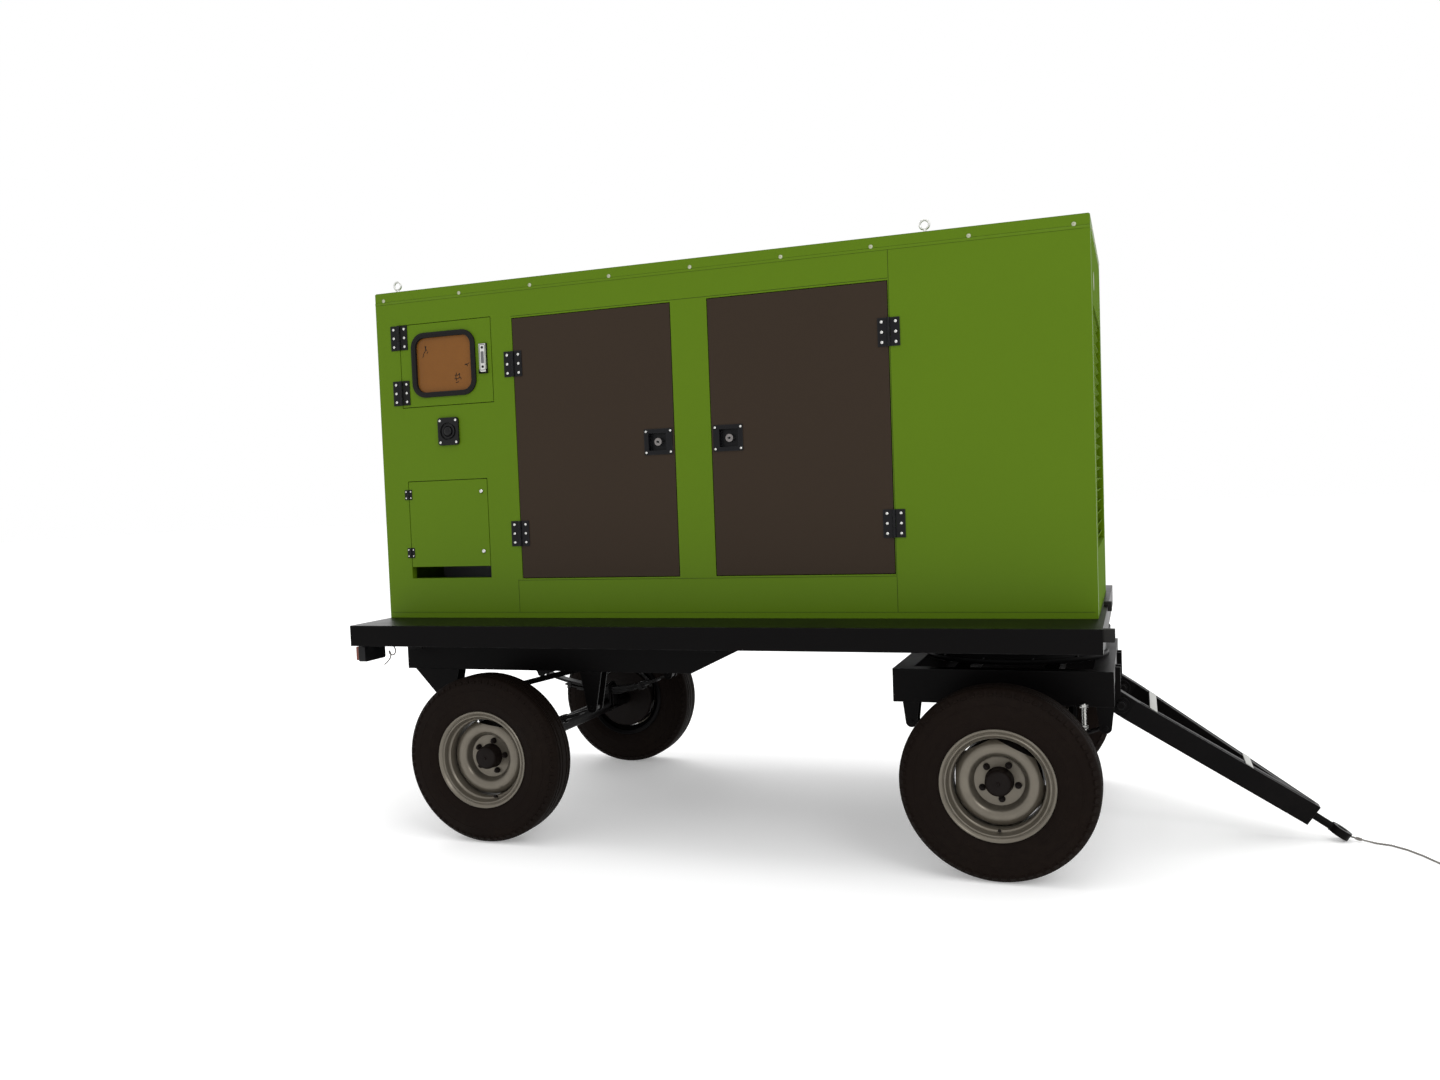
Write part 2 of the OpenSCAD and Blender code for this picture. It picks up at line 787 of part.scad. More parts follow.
module control_door() {
    hole_x = window_x - seal_groove;
    hole_z = window_z - seal_groove;
    color(green) control_place() difference() {
        pan(control_w, control_h, panel_t);
        translate([hole_x, -1, hole_z]) round_plate(window_w + 2 * seal_groove,
            window_h + 2 * seal_groove, panel_t + 2, window_r + seal_groove);
    }
}

pane_y = 6;
pane_t = 5;
pane_edge = 6;

module control_window() {
    color([0.5, 0.32, 0.15]) control_place()
        translate([window_x - pane_edge, pane_y, window_z - pane_edge])
            round_plate(window_w + 2 * pane_edge, window_h + 2 * pane_edge, pane_t,
                window_r + pane_edge);
}

module control_door_hardware() {
    lip = 9;
    color(black) control_place() {
        for (z = control_hinge_z)
            translate([0, 0, z]) moving_leaf(hinge_h, leaf_w, leaf_t, barrel_r);
        difference() {
            union() {
                translate([window_x - seal_lip, -lip, window_z - seal_lip])
                    round_plate(window_w + 2 * seal_lip, window_h + 2 * seal_lip, lip,
                        window_r + seal_lip);
                translate([window_x - seal_groove + tiny, -1, window_z - seal_groove + tiny])
                    round_plate(window_w + 2 * (seal_groove - tiny),
                        window_h + 2 * (seal_groove - tiny), panel_t - 8, window_r + seal_groove);
            }
            translate([window_x, -lip - 1, window_z])
                round_plate(window_w, window_h, 60, window_r);
            translate([window_x - pane_edge, pane_y, window_z - pane_edge])
                round_plate(window_w + 2 * pane_edge, window_h + 2 * pane_edge, pane_t,
                    window_r + pane_edge);
        }
        span([latch_u - 3, -latch_base, latch_low - 3],
            [latch_u + latch_w + 3, 0, latch_low + latch_h + 3]);
        for (u = [latch_u - 3, latch_u + latch_w]) span([u, -latch_base - 14, latch_low - 3],
            [u + 3, 0, latch_low + 16]);
    }
}

// flush lever latch on the control door, hinged at its lower end
latch_u = 440;
latch_low = 140;
latch_w = 36;
latch_h = 136;
latch_base = 3;
latch_pin_z = 8;
module control_latch() {
    lever_t = 9;
    color(silver) control_place() {
        span([latch_u + tiny, -latch_base - tiny - lever_t, latch_low + latch_pin_z],
            [latch_u + latch_w - tiny, -latch_base - tiny, latch_low + latch_h]);
        translate([latch_u + latch_w / 2, -latch_base - tiny - lever_t / 2,
            latch_low + latch_pin_z]) along_x_centred(lever_t / 2, latch_w - 2 * tiny);
    }
}

// a cylinder along X, centred on its middle
module along_x_centred(r, l) {
    rotate([0, 90, 0]) cylinder(r = r, h = l, center = true);
}

module outlet_door() {
    color(green) outlet_place() pan(outlet_w, outlet_h, panel_t);
}

module outlet_door_hardware() {
    screw_u = 404;
    color(black) outlet_place() {
        for (z = outlet_hinge_z) translate([0, 0, z])
            moving_leaf(small_hinge_h, small_leaf_w, small_leaf_t, small_barrel_r);
        for (z = [74, 359]) translate([screw_u, -2, z]) along_y(9, 4);
    }
}

module stop_button_bezel() {
    w = 112;
    h = 132;
    cup_r = 42;
    color(black) place() translate([stop_x, -half_w, stop_z]) difference() {
        union() {
            translate([-w / 2, -12, -h / 2]) round_plate(w, h, 12, 14);
            translate([0, 15, 0]) along_y(24 - tiny, 34);
        }
        translate([0, -8, 0]) along_y(cup_r, 10);
        translate([0, 15, 0]) along_y(10, 50);
    }
}

module stop_button() {
    head_r = 22;
    color([0.1, 0.02, 0.02]) place() translate([stop_x, -half_w, stop_z]) {
        translate([0, -15, 0]) along_y(head_r, 8);
        translate([0, 8, 0]) along_y(10 - fit, 40);
    }
}

// ---- generating set inside ----

mount_h = 44;
mount_places = [[900, 270], [1560, 300], [2240, 300]];

module rubber_mounts() {
    color(rubber) place() both_sides() for (m = mount_places)
        translate([m[0], m[1], tank_top]) cylinder(r = 36, h = mount_h);
}

// a foot from a rubber mount to the machine's side
module foot(m, inner_y, top) {
    low = tank_top + mount_h;
    span([m[0] - 45, inner_y, low], [m[0] + 45, m[1] + 40, low + 14]);
    span([m[0] - 45, inner_y, low], [m[0] + 45, inner_y + 16, top]);
}

module engine_block() {
    block_y = 225;
    color([0.2, 0.22, 0.2]) place() {
        span([1425, -block_y, 1400], [2360, block_y, head_z]);
        span([1470, -180, 1250], [2310, 180, 1400]);
        translate([1361, 0, crank_z]) along_x(260, 64);
        both_sides() for (i = [1, 2]) foot(mount_places[i], block_y - 16, 1480);
        translate([2360, 0, crank_z]) along_x(30 - fit, 70);
        span([2351, -40, head_z - 120], [2380, 40, fan_z + 40]);
        translate([2360, 0, fan_z]) along_x(16 - fit, 140);
        span([1500, block_y - 15, 1662], [2280, block_y + 79, manifold_top]);
        translate([1520, -block_y, 1560]) along_x(45, 260);
    }
}

module cylinder_head() {
    cylinders = 6;
    pitch = 150;
    color([0.25, 0.27, 0.25]) place() {
        span([1430, -150, head_z], [2350, 150, 1910]);
        for (i = [0:cylinders - 1]) span([1445 + i * pitch, -95, 1910],
            [1445 + i * pitch + pitch - 20, 95, 1975]);
    }
}

module alternator() {
    color([0.3, 0.32, 0.33]) place() {
        translate([740, 0, crank_z]) along_x(235, 620);
        translate([720, 0, crank_z]) along_x(200, 21);
        box_section([800, -190, crank_z + 180], [1180, 190, crank_z + 420], skin_t);
        both_sides() foot(mount_places[0], 160, crank_z - 100);
    }
}

module cooling_fan() {
    blades = 8;
    hub = 60;
    hub_l = 100;
    color(black) place() translate([fan_x - 36, 0, fan_z]) difference() {
        union() {
            along_x(fan_pulley_r, 26);
            along_x(hub, hub_l);
            for (i = [0:blades - 1]) rotate([i * 360 / blades, 0, 0])
                translate([72, 0, (hub + fan_r) / 2 - 10]) rotate([0, 0, 32])
                    cube([blade_t, 90, fan_r - hub + 6], center = true);
        }
        translate([-1, 0, 0]) along_x(16, hub_l + 2);
    }
}

module crank_pulley() {
    color(black) place() translate([fan_x - 36, 0, crank_z]) difference() {
        along_x(crank_pulley_r, 26);
        translate([-1, 0, 0]) along_x(30, 30);
    }
}

module radiator() {
    core_x = 2560;
    low = tank_top;
    high = 2230;
    color([0.12, 0.12, 0.12]) place() {
        span([core_x, -460, low + 60], [core_x + 60, 460, high - 60]);
        box_section([core_x - 10, -470, low], [core_x + 100, 470, low + 90], skin_t);
        box_section([core_x - 10, -470, high - 110], [core_x + 100, 470, high], skin_t);
        difference() {
            span([2450, -440, 1400], [core_x, 440, high - 40]);
            span([2480, -425, 1415], [core_x + 1, 425, high - 55]);
            translate([2440, 0, fan_z]) along_x(fan_r + 26, 80);
        }
    }
}

module muffler() {
    x = 2960;
    r = 120;
    l = 760;
    up_x = 1900;
    up_y = 266;
    color(silver) place() {
        difference() {
            translate([x, 0, muffler_z]) along_y(r, l);
            translate([x, 0, muffler_z]) along_y(r - skin_t, l - 2 * skin_t);
        }
        translate([up_x, up_y, manifold_top + tiny])
            cylinder(r = pipe_r, h = muffler_z - manifold_top);
        translate([up_x - pipe_r, up_y, muffler_z]) along_x(pipe_r, x - r - up_x + pipe_r + 8);
        translate([x + r - 8, tail_pipe_y, muffler_z])
            along_x(pipe_r, canopy_l - x - r + 8);
    }
}

module air_cleaner() {
    z = 2220;
    color(black) place() {
        translate([1480, -150, z]) along_x(125, 430);
        translate([1560, -150, 1910.3]) cylinder(r = 40, h = z - 1910);
    }
}

module battery() {
    color(black) place() {
        span([1660, -540, tank_top], [2010, -370, tank_top + 200]);
        for (x = [1710, 1960]) translate([x, -420, tank_top + 200]) cylinder(r = 9, h = 16);
    }
}

module control_cabinet() {
    back = -250;
    face = -half_w + wall_t + 14;
    color([0.2, 0.2, 0.21]) place() {
        box_section([90, face, 1720], [680, back, 2470], skin_t);
        box_section([110, face + 40, 1240], [620, back, 1690], skin_t);
        span([110, back - 20, tank_top], [620, back, 1240]);
        span([110, back - 20, 1690], [620, back, 1720]);
        for (i = [0:2]) translate([220 + i * 140, face + 30, 1400]) along_y(38, 24);
        span([200, face + 20, 1520], [520, face + 40, 1640]);
    }
}

deck_frame();
rear_subframe();
turntable_upper_ring();
tail_lights();
base_tank();
canopy_side_right();
canopy_side_left();
canopy_front();
canopy_rear();
canopy_roof();
lifting_eyes();
fixed_hinge_leaves();
stop_button_bezel();
stop_button();
engine_block();
cylinder_head();
alternator();
radiator();
muffler();
air_cleaner();
battery();
rubber_mounts();
control_cabinet();
cooling_fan();
crank_pulley();
door_right_rear();
door_right_front();
door_left_rear();
door_left_front();
hardware_right_rear();
hardware_right_front();
hardware_left_rear();
hardware_left_front();
latch_right_rear();
latch_right_front();
latch_left_rear();
latch_left_front();
control_door();
control_window();
control_door_hardware();
control_latch();
outlet_door();
outlet_door_hardware();
bogie_frame();
turntable_lower_ring();
front_axle();
rear_axle();
front_leaf_springs();
rear_leaf_springs();
drawbar();
tow_eye();
tyre_front_right();
tyre_front_left();
tyre_rear_right();
tyre_rear_left();
rim_front_right();
rim_front_left();
rim_rear_right();
rim_rear_left();
tow_rope();
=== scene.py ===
"""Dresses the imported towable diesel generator: finishes, detailed pieces, studio and camera."""
import json
import logging
import math
from dataclasses import dataclass
from enum import Enum
from functools import cache
from itertools import product
from typing import Iterable, Sequence

import bmesh
import bpy
from mathutils import Matrix, Vector


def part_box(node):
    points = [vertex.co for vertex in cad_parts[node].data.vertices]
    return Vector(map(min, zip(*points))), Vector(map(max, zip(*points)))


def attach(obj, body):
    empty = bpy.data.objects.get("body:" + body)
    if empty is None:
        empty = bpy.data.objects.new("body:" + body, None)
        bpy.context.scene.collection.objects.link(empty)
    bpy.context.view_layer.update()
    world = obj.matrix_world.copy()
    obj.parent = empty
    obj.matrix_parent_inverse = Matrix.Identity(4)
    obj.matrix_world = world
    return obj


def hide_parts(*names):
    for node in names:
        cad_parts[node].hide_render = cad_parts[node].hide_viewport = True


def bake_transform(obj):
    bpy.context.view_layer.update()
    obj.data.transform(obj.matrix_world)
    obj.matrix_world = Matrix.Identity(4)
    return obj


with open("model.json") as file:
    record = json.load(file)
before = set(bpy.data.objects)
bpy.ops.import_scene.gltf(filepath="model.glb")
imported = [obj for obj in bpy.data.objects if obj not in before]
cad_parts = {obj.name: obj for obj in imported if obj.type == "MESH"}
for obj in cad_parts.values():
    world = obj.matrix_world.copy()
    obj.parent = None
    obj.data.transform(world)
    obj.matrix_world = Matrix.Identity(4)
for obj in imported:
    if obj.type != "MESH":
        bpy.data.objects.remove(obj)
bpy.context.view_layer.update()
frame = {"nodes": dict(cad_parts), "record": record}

LOG = logging.getLogger("generator")
Point = Sequence[float]
Profile = Sequence[tuple[float, float]]
REAR_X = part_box("canopy_roof")[0].x
SIDE_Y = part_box("canopy_side_left")[1].y


class Side(Enum):
    """Which side of the trailer a thing is on, as the sign of Y."""

    RIGHT = -1
    LEFT = 1


class Surface(Enum):
    """What a surface is, which settles its fine relief."""

    SPRAYED = "sprayed paint"
    BRUSHED = "worn bright metal"
    MOULDED = "moulded plastic"
    RUBBER = "rubber"
    FOAM = "open foam"
    FIBRE = "twisted fibre"


def along(x: float, y: float, z: float) -> Vector:
    """Gives a point from metres ahead of the canopy's rear face, off centre and above ground."""
    return Vector((REAR_X + x, y, z))


def move(x: float, y: float, z: float) -> Matrix:
    """Returns a frame shifted without a turn."""
    return Matrix.Translation((x, y, z))


def angles(count: int, sweep: float = math.tau, ends: bool = False) -> list[float]:
    """Returns evenly spaced angles from zero, with the sweep's own end where asked."""
    return [sweep * i / count for i in range(count + ends)]


def wall_frame(x: float, z: float, side: Side, out: float = 0.0) -> Matrix:
    """Places a piece on a canopy side.

    Args:
        x: Metres ahead of the canopy's rear face.
        z: Height above the ground.
        side: The side of the trailer.
        out: How far in front of the wall's face.

    Returns:
        A frame whose Z points away from the wall and whose Y points up.
    """
    turn = Matrix.Rotation(math.pi / 2, 4, "X")
    if side is Side.LEFT:
        turn = Matrix.Rotation(math.pi, 4, "Z") @ turn
    return Matrix.Translation(along(x, side.value * (SIDE_Y + out), z)) @ turn


class NodeBench:
    """Adds and joins shader nodes in one tree."""

    def __init__(self, tree: bpy.types.NodeTree) -> None:
        """Takes the tree to work in."""
        self.tree = tree

    def add(self, kind: str, **settings: object) -> bpy.types.Node:
        """Adds a node.

        Args:
            kind: The node's type name.
            **settings: Attributes, or inputs by name with spaces as underscores.

        Returns:
            The new node.
        """
        node = self.tree.nodes.new(kind)
        for key, value in settings.items():
            if hasattr(node, key):
                setattr(node, key, value)
            else:
                self.feed(node.inputs[key.replace("_", " ")], value)
        return node

    def feed(self, socket: bpy.types.NodeSocket, value: object) -> None:
        """Links a socket to another, or sets it to a constant."""
        if isinstance(value, bpy.types.NodeSocket):
            self.tree.links.new(value, socket)
        else:
            socket.default_value = value

    def math(self, operation: str, first: object, second: object = 0.0) -> bpy.types.NodeSocket:
        """Returns the result of a math node."""
        node = self.add("ShaderNodeMath", operation=operation)
        self.feed(node.inputs[0], first)
        self.feed(node.inputs[1], second)
        return node.outputs[0]

    def blend(self, factor: object, first: object, second: object) -> bpy.types.NodeSocket:
        """Returns a colour mixed from two by a factor."""
        node = self.add("ShaderNodeMix", data_type="RGBA")
        self.feed(node.inputs[0], factor)
        self.feed(node.inputs[6], first)
        self.feed(node.inputs[7], second)
        return node.outputs[2]

    def remap(self, value: object, low: float, high: float) -> bpy.types.NodeSocket:
        """Returns a value stretched from low..high to 0..1 and clamped."""
        node = self.add("ShaderNodeMapRange", clamp=True)
        self.feed(node.inputs[0], value)
        self.feed(node.inputs[1], low)
        self.feed(node.inputs[2], high)
        return node.outputs[0]


FLOAT, COLOUR = "NodeSocketFloat", "NodeSocketColor"
GREY = (0.5, 0.5, 0.5, 1.0)


class GroupBench(NodeBench):
    """A bench inside a new shader node group, with its sockets and object coordinates."""

    def __init__(self, name: str, inputs: Iterable[tuple[str, str, object]],
                 outputs: Iterable[tuple[str, str]]) -> None:
        """Makes the group and its sockets.

        Args:
            name: The group's name.
            inputs: Name, socket type and default of each input.
            outputs: Name and socket type of each output.
        """
        super().__init__(bpy.data.node_groups.new(name, "ShaderNodeTree"))
        for label, kind, value in inputs:
            socket = self.tree.interface.new_socket(label, in_out="INPUT", socket_type=kind)
            socket.default_value = value
        for label, kind in outputs:
            self.tree.interface.new_socket(label, in_out="OUTPUT", socket_type=kind)
        self.given = self.add("NodeGroupInput").outputs
        self.result = self.add("NodeGroupOutput").inputs
        self.place = self.add("ShaderNodeTexCoord").outputs["Object"]


class Effects:
    """Shared surface effects, each one node group built once."""

    @staticmethod
    @cache
    def mottle() -> bpy.types.NodeTree:
        """Returns the group that drifts a colour and its gloss in broad soft patches."""
        bench = GroupBench(
            "patchy_tone",
            [("Colour", COLOUR, GREY), ("Scale", FLOAT, 2.0), ("Amount", FLOAT, 0.1),
             ("Roughness", FLOAT, 0.4)],
            [("Colour", COLOUR), ("Roughness", FLOAT)])
        given = bench.given
        broad = bench.add("ShaderNodeTexNoise", Vector=bench.place, Scale=given["Scale"],
                          Detail=5.0, Roughness=0.6)
        swing = bench.math("MULTIPLY", bench.math("SUBTRACT", broad.outputs[0], 0.5),
                           bench.math("MULTIPLY", given["Amount"], 2.0))
        tone = bench.add("ShaderNodeHueSaturation", Color=given["Colour"])
        bench.feed(tone.inputs["Value"], bench.math("ADD", swing, 1.0))
        bench.feed(bench.result["Colour"], tone.outputs[0])
        rough = bench.math("ADD", given["Roughness"], bench.math("MULTIPLY", swing, 0.5))
        bench.feed(bench.result["Roughness"], bench.math("MAXIMUM", rough, 0.03))
        return bench.tree

    @staticmethod
    @cache
    def grime() -> bpy.types.NodeTree:
        """Returns the group that lays road dust on low and on upward faces."""
        bench = GroupBench(
            "road_dust",
            [("Colour", COLOUR, GREY), ("Roughness", FLOAT, 0.4), ("Dust", COLOUR, GREY),
             ("Amount", FLOAT, 0.2), ("Top", FLOAT, 1.2)],
            [("Colour", COLOUR), ("Roughness", FLOAT)])
        given = bench.given
        height = bench.add("ShaderNodeSeparateXYZ", Vector=bench.place).outputs[2]
        up = bench.add("ShaderNodeSeparateXYZ",
                       Vector=bench.add("ShaderNodeNewGeometry").outputs["Normal"]).outputs[2]
        low = bench.math("SUBTRACT", 1.0, bench.math("DIVIDE", height, given["Top"]))
        lie = bench.math("MAXIMUM", bench.math("MAXIMUM", low, 0.0),
                         bench.math("MULTIPLY", bench.math("MAXIMUM", up, 0.0), 0.7))
        speck = bench.add("ShaderNodeTexNoise", Vector=bench.place, Scale=34.0, Detail=8.0,
                          Roughness=0.72)
        cloud = bench.add("ShaderNodeTexNoise", Vector=bench.place, Scale=3.2, Detail=4.0)
        broken = bench.math("MULTIPLY", bench.remap(speck.outputs[0], 0.38, 0.72),
                            bench.remap(cloud.outputs[0], 0.25, 0.75))
        mask = bench.math("MULTIPLY", bench.math("MULTIPLY", broken, lie), given["Amount"])
        bench.feed(bench.result["Colour"], bench.blend(mask, given["Colour"], given["Dust"]))
        rough = bench.math("ADD", given["Roughness"], bench.math("MULTIPLY", mask, 0.5))
        bench.feed(bench.result["Roughness"], bench.math("MINIMUM", rough, 1.0))
        return bench.tree

    @staticmethod
    @cache
    def rubbed() -> bpy.types.NodeTree:
        """Returns the group that rubs paint through to metal along raised edges."""
        bench = GroupBench(
            "rubbed_edges",
            [("Colour", COLOUR, GREY), ("Bare", COLOUR, GREY), ("Amount", FLOAT, 0.3)],
            [("Colour", COLOUR)])
        given = bench.given
        rounded = bench.add("ShaderNodeBevel", samples=3, Radius=0.004)
        agree = bench.add("ShaderNodeVectorMath", operation="DOT_PRODUCT")
        bench.feed(agree.inputs[0], rounded.outputs[0])
        bench.feed(agree.inputs[1], bench.add("ShaderNodeNewGeometry").outputs["Normal"])
        chips = bench.add("ShaderNodeTexNoise", Vector=bench.place, Scale=26.0, Detail=6.0)
        mask = bench.math("MULTIPLY", bench.remap(agree.outputs["Value"], 0.985, 0.9),
                          bench.remap(chips.outputs[0], 0.4, 0.6))
        bench.feed(bench.result["Colour"],
                   bench.blend(bench.math("MULTIPLY", mask, given["Amount"]),
                               given["Colour"], given["Bare"]))
        return bench.tree

    @staticmethod
    @cache
    def relief() -> bpy.types.NodeTree:
        """Returns the group that gives a fine height, stretched along X as asked."""
        bench = GroupBench(
            "fine_relief",
            [("Scale", FLOAT, 100.0), ("Stretch", FLOAT, 1.0), ("Detail", FLOAT, 4.0)],
            [("Height", FLOAT)])
        given = bench.given
        scale = bench.add("ShaderNodeCombineXYZ", X=given["Stretch"], Y=1.0, Z=1.0)
        stretched = bench.add("ShaderNodeVectorMath", operation="MULTIPLY")
        bench.feed(stretched.inputs[0], bench.place)
        bench.feed(stretched.inputs[1], scale.outputs[0])
        noise = bench.add("ShaderNodeTexNoise", Vector=stretched.outputs[0],
                          Scale=given["Scale"], Detail=given["Detail"])
        bench.feed(bench.result["Height"], noise.outputs[0])
        return bench.tree


@dataclass(frozen=True)
class Finish:
    """One finish: the colour, gloss and wear of a made surface."""

    name: str
    slot: str
    surface: Surface
    colour: tuple[float, float, float]
    rough: float = 0.4
    metal: float = 0.0
    coat: float = 0.0
    sheen: float = 0.5
    patch_scale: float = 1.6
    patch: float = 0.1
    grain_scale: float = 320.0
    grain: float = 0.06
    stretch: float = 1.0
    dust: float = 0.2
    dust_top: float = 1.15
    wear: float = 0.0
    bare: tuple[float, float, float] = (0.35, 0.34, 0.33)
    road: tuple[float, float, float] = (0.16, 0.13, 0.1)

    def material(self) -> bpy.types.Material:
        """Builds the finish's material once and returns it."""
        known = bpy.data.materials.get(self.name)
        if known is not None:
            return known
        made = bpy.data.materials.new(self.name)
        made.use_nodes = True
        made.node_tree.nodes.clear()
        bench = NodeBench(made.node_tree)
        shader = bench.add("ShaderNodeBsdfPrincipled")
        shader.inputs["Metallic"].default_value = self.metal
        shader.inputs["Coat Weight"].default_value = self.coat
        shader.inputs["Coat Roughness"].default_value = 0.08
        shader.inputs["Specular IOR Level"].default_value = self.sheen
        bench.feed(bench.add("ShaderNodeOutputMaterial").inputs[0], shader.outputs[0])
        tone = self._group(bench, Effects.mottle(), Colour=self._base(bench),
                           Scale=self.patch_scale, Amount=self.patch, Roughness=self.rough)
        colour = tone.outputs["Colour"]
        if self.wear:
            rubbed = self._group(bench, Effects.rubbed(), Colour=colour, Bare=(*self.bare, 1.0),
                                 Amount=self.wear)
            colour = rubbed.outputs["Colour"]
        dusty = self._group(bench, Effects.grime(), Colour=colour, Dust=(*self.road, 1.0),
                            Roughness=tone.outputs["Roughness"], Amount=self.dust,
                            Top=self.dust_top)
        bench.feed(shader.inputs["Base Color"], dusty.outputs["Colour"])
        bench.feed(shader.inputs["Roughness"], dusty.outputs["Roughness"])
        bump = bench.add("ShaderNodeBump", Strength=self.grain, Distance=0.002)
        bench.feed(bump.inputs["Height"], self._height(bench))
        bench.feed(shader.inputs["Normal"], bump.outputs[0])
        made.diffuse_color = (*self.colour, 1.0)
        return made

    @staticmethod
    def _group(bench: NodeBench, group: bpy.types.NodeTree,
               **values: object) -> bpy.types.Node:
        """Places a shared effect with this finish's own values."""
        node = bench.add("ShaderNodeGroup")
        node.node_tree = group
        for key, value in values.items():
            bench.feed(node.inputs[key], value)
        return node

    def _base(self, bench: NodeBench) -> object:
        """Returns the colour before tone and dust, with the pattern some surfaces carry."""
        plain = (*self.colour, 1.0)
        dark = tuple(0.25 * part for part in self.colour) + (1.0,)
        if self.surface is Surface.FIBRE:
            strands = self._pattern(bench, "ShaderNodeTexNoise", Scale=900.0, Detail=3.0)
            return bench.blend(bench.remap(strands, 0.35, 0.6), dark, plain)
        if self.surface is Surface.FOAM:
            cells = self._pattern(bench, "ShaderNodeTexVoronoi", Scale=260.0)
            return bench.blend(bench.remap(cells, 0.1, 0.6), plain, dark)
        return plain

    def _height(self, bench: NodeBench) -> bpy.types.NodeSocket:
        """Returns the height that the bump reads."""
        if self.surface is Surface.FOAM:
            return self._pattern(bench, "ShaderNodeTexVoronoi", Scale=150.0)
        fine = self._group(bench, Effects.relief(), Scale=self.grain_scale, Stretch=self.stretch,
                           Detail=6.0 if self.surface is Surface.RUBBER else 3.0)
        return fine.outputs["Height"]

    @staticmethod
    def _pattern(bench: NodeBench, kind: str, **settings: float) -> bpy.types.NodeSocket:
        """Returns the value of a texture laid on the object's own coordinates."""
        place = bench.add("ShaderNodeTexCoord").outputs["Object"]
        return bench.add(kind, Vector=place, **settings).outputs[0]


CHASSIS_BLACK = Finish("chassis_black_paint", "chassis_black", Surface.SPRAYED,
                       (0.0022, 0.0019, 0.002), 0.34, sheen=0.05, patch=0.25,
                       grain_scale=180.0, grain=0.04, dust=0.1, wear=0.16, dust_top=1.0,
                       bare=(0.1, 0.1, 0.1), road=(0.05, 0.04, 0.035))
CANOPY_GREEN = Finish("canopy_green_paint", "canopy_green", Surface.SPRAYED,
                      (0.08, 0.15, 0.0025), 0.38, sheen=0.12, patch_scale=0.9,
                      patch=0.06, grain_scale=150.0, grain=0.03, dust=0.05, wear=0.08,
                      bare=(0.16, 0.26, 0.04), road=(0.1, 0.12, 0.03))
CANOPY_END = Finish("canopy_green_paint_matt", "canopy_green", Surface.SPRAYED,
                    (0.08, 0.15, 0.0025), 0.85, sheen=0.03, patch_scale=0.9, patch=0.06,
                    grain_scale=150.0, grain=0.03, dust=0.05, wear=0.08,
                    bare=(0.16, 0.26, 0.04), road=(0.1, 0.12, 0.03))
DOOR_BROWN = Finish("door_brown_paint", "door_brown", Surface.SPRAYED, (0.031, 0.021, 0.014),
                    0.42, sheen=0.08, patch=0.06, patch_scale=1.2, grain_scale=420.0,
                    grain=0.05, dust=0.04, wear=0.06, bare=(0.1, 0.08, 0.07),
                    road=(0.06, 0.05, 0.04))
HINGE_BLACK = Finish("hinge_black_zinc", "hinge_black", Surface.SPRAYED, (0.004, 0.004, 0.005),
                     0.36, sheen=0.16, patch=0.2, grain_scale=300.0, grain=0.1, dust=0.05,
                     wear=0.15, bare=(0.12, 0.12, 0.12))
SEAL_BLACK = Finish("seal_black_rubber", "seal_black", Surface.RUBBER, (0.005, 0.0045, 0.0045),
                    0.55, sheen=0.16, patch=0.15, grain_scale=500.0, grain=0.15, dust=0.06)
PLASTIC_BLACK = Finish("button_black_plastic", "black_plastic", Surface.MOULDED,
                       (0.004, 0.004, 0.0045), 0.34, sheen=0.2, patch=0.1,
                       grain_scale=900.0, grain=0.12, dust=0.05)
LENS_RED = Finish("lamp_red_lens", "lamp_red", Surface.MOULDED, (0.075, 0.004, 0.004), 0.14,
                  coat=0.3, patch=0.08, grain_scale=60.0, grain=0.03, dust=0.15)
PLATED = Finish("plated_steel_bright", "plated_steel", Surface.BRUSHED, (0.62, 0.62, 0.6), 0.27,
                metal=1.0, patch=0.12, patch_scale=30.0, grain_scale=900.0, grain=0.08,
                dust=0.12)
ZINC_GREY = Finish("zinc_grey_dull", "plated_steel", Surface.BRUSHED, (0.2, 0.185, 0.18), 0.4,
                   metal=0.8, patch=0.3, patch_scale=60.0, grain_scale=900.0, grain=0.08,
                   dust=0.12)
SCREW_DULL = Finish("screw_dull_zinc", "plated_steel", Surface.BRUSHED, (0.4, 0.42, 0.3), 0.42,
                    metal=0.7, patch=0.25, patch_scale=30.0, grain_scale=900.0, grain=0.08,
                    dust=0.12)
ENGINE_GREY = Finish("engine_cast_paint", "engine_paint", Surface.SPRAYED, (0.04, 0.062, 0.052),
                     0.5, sheen=0.3, patch=0.2, patch_scale=5.0, grain_scale=220.0, grain=0.4,
                     dust=0.2, wear=0.25)
CORE_DARK = Finish("radiator_core_dark", "radiator_core", Surface.BRUSHED, (0.03, 0.03, 0.03),
                   0.5, patch=0.2, grain_scale=400.0, grain=0.2, stretch=12.0)
MUFFLER = Finish("muffler_heat_steel", "muffler_steel", Surface.BRUSHED, (0.36, 0.33, 0.29),
                 0.42, metal=0.6, patch=0.3, patch_scale=4.0, grain_scale=300.0, grain=0.15)
RUBBER = Finish("mount_rubber", "rubber", Surface.RUBBER, (0.008, 0.0075, 0.007), 0.7,
                sheen=0.2, patch=0.2, grain_scale=300.0, grain=0.2)
CABINET = Finish("cabinet_grey_paint", "cabinet_grey", Surface.SPRAYED, (0.1, 0.1, 0.105),
                 0.45, patch=0.08, grain_scale=500.0, grain=0.15, dust=0.1)
PULLEY_IRON = Finish("pulley_dark_iron", "pulley_iron", Surface.BRUSHED,
                     (0.005, 0.003, 0.0024), 0.5, sheen=0.1, patch=0.3, patch_scale=12.0,
                     grain_scale=260.0, grain=0.3, dust=0.12, road=(0.04, 0.03, 0.025))
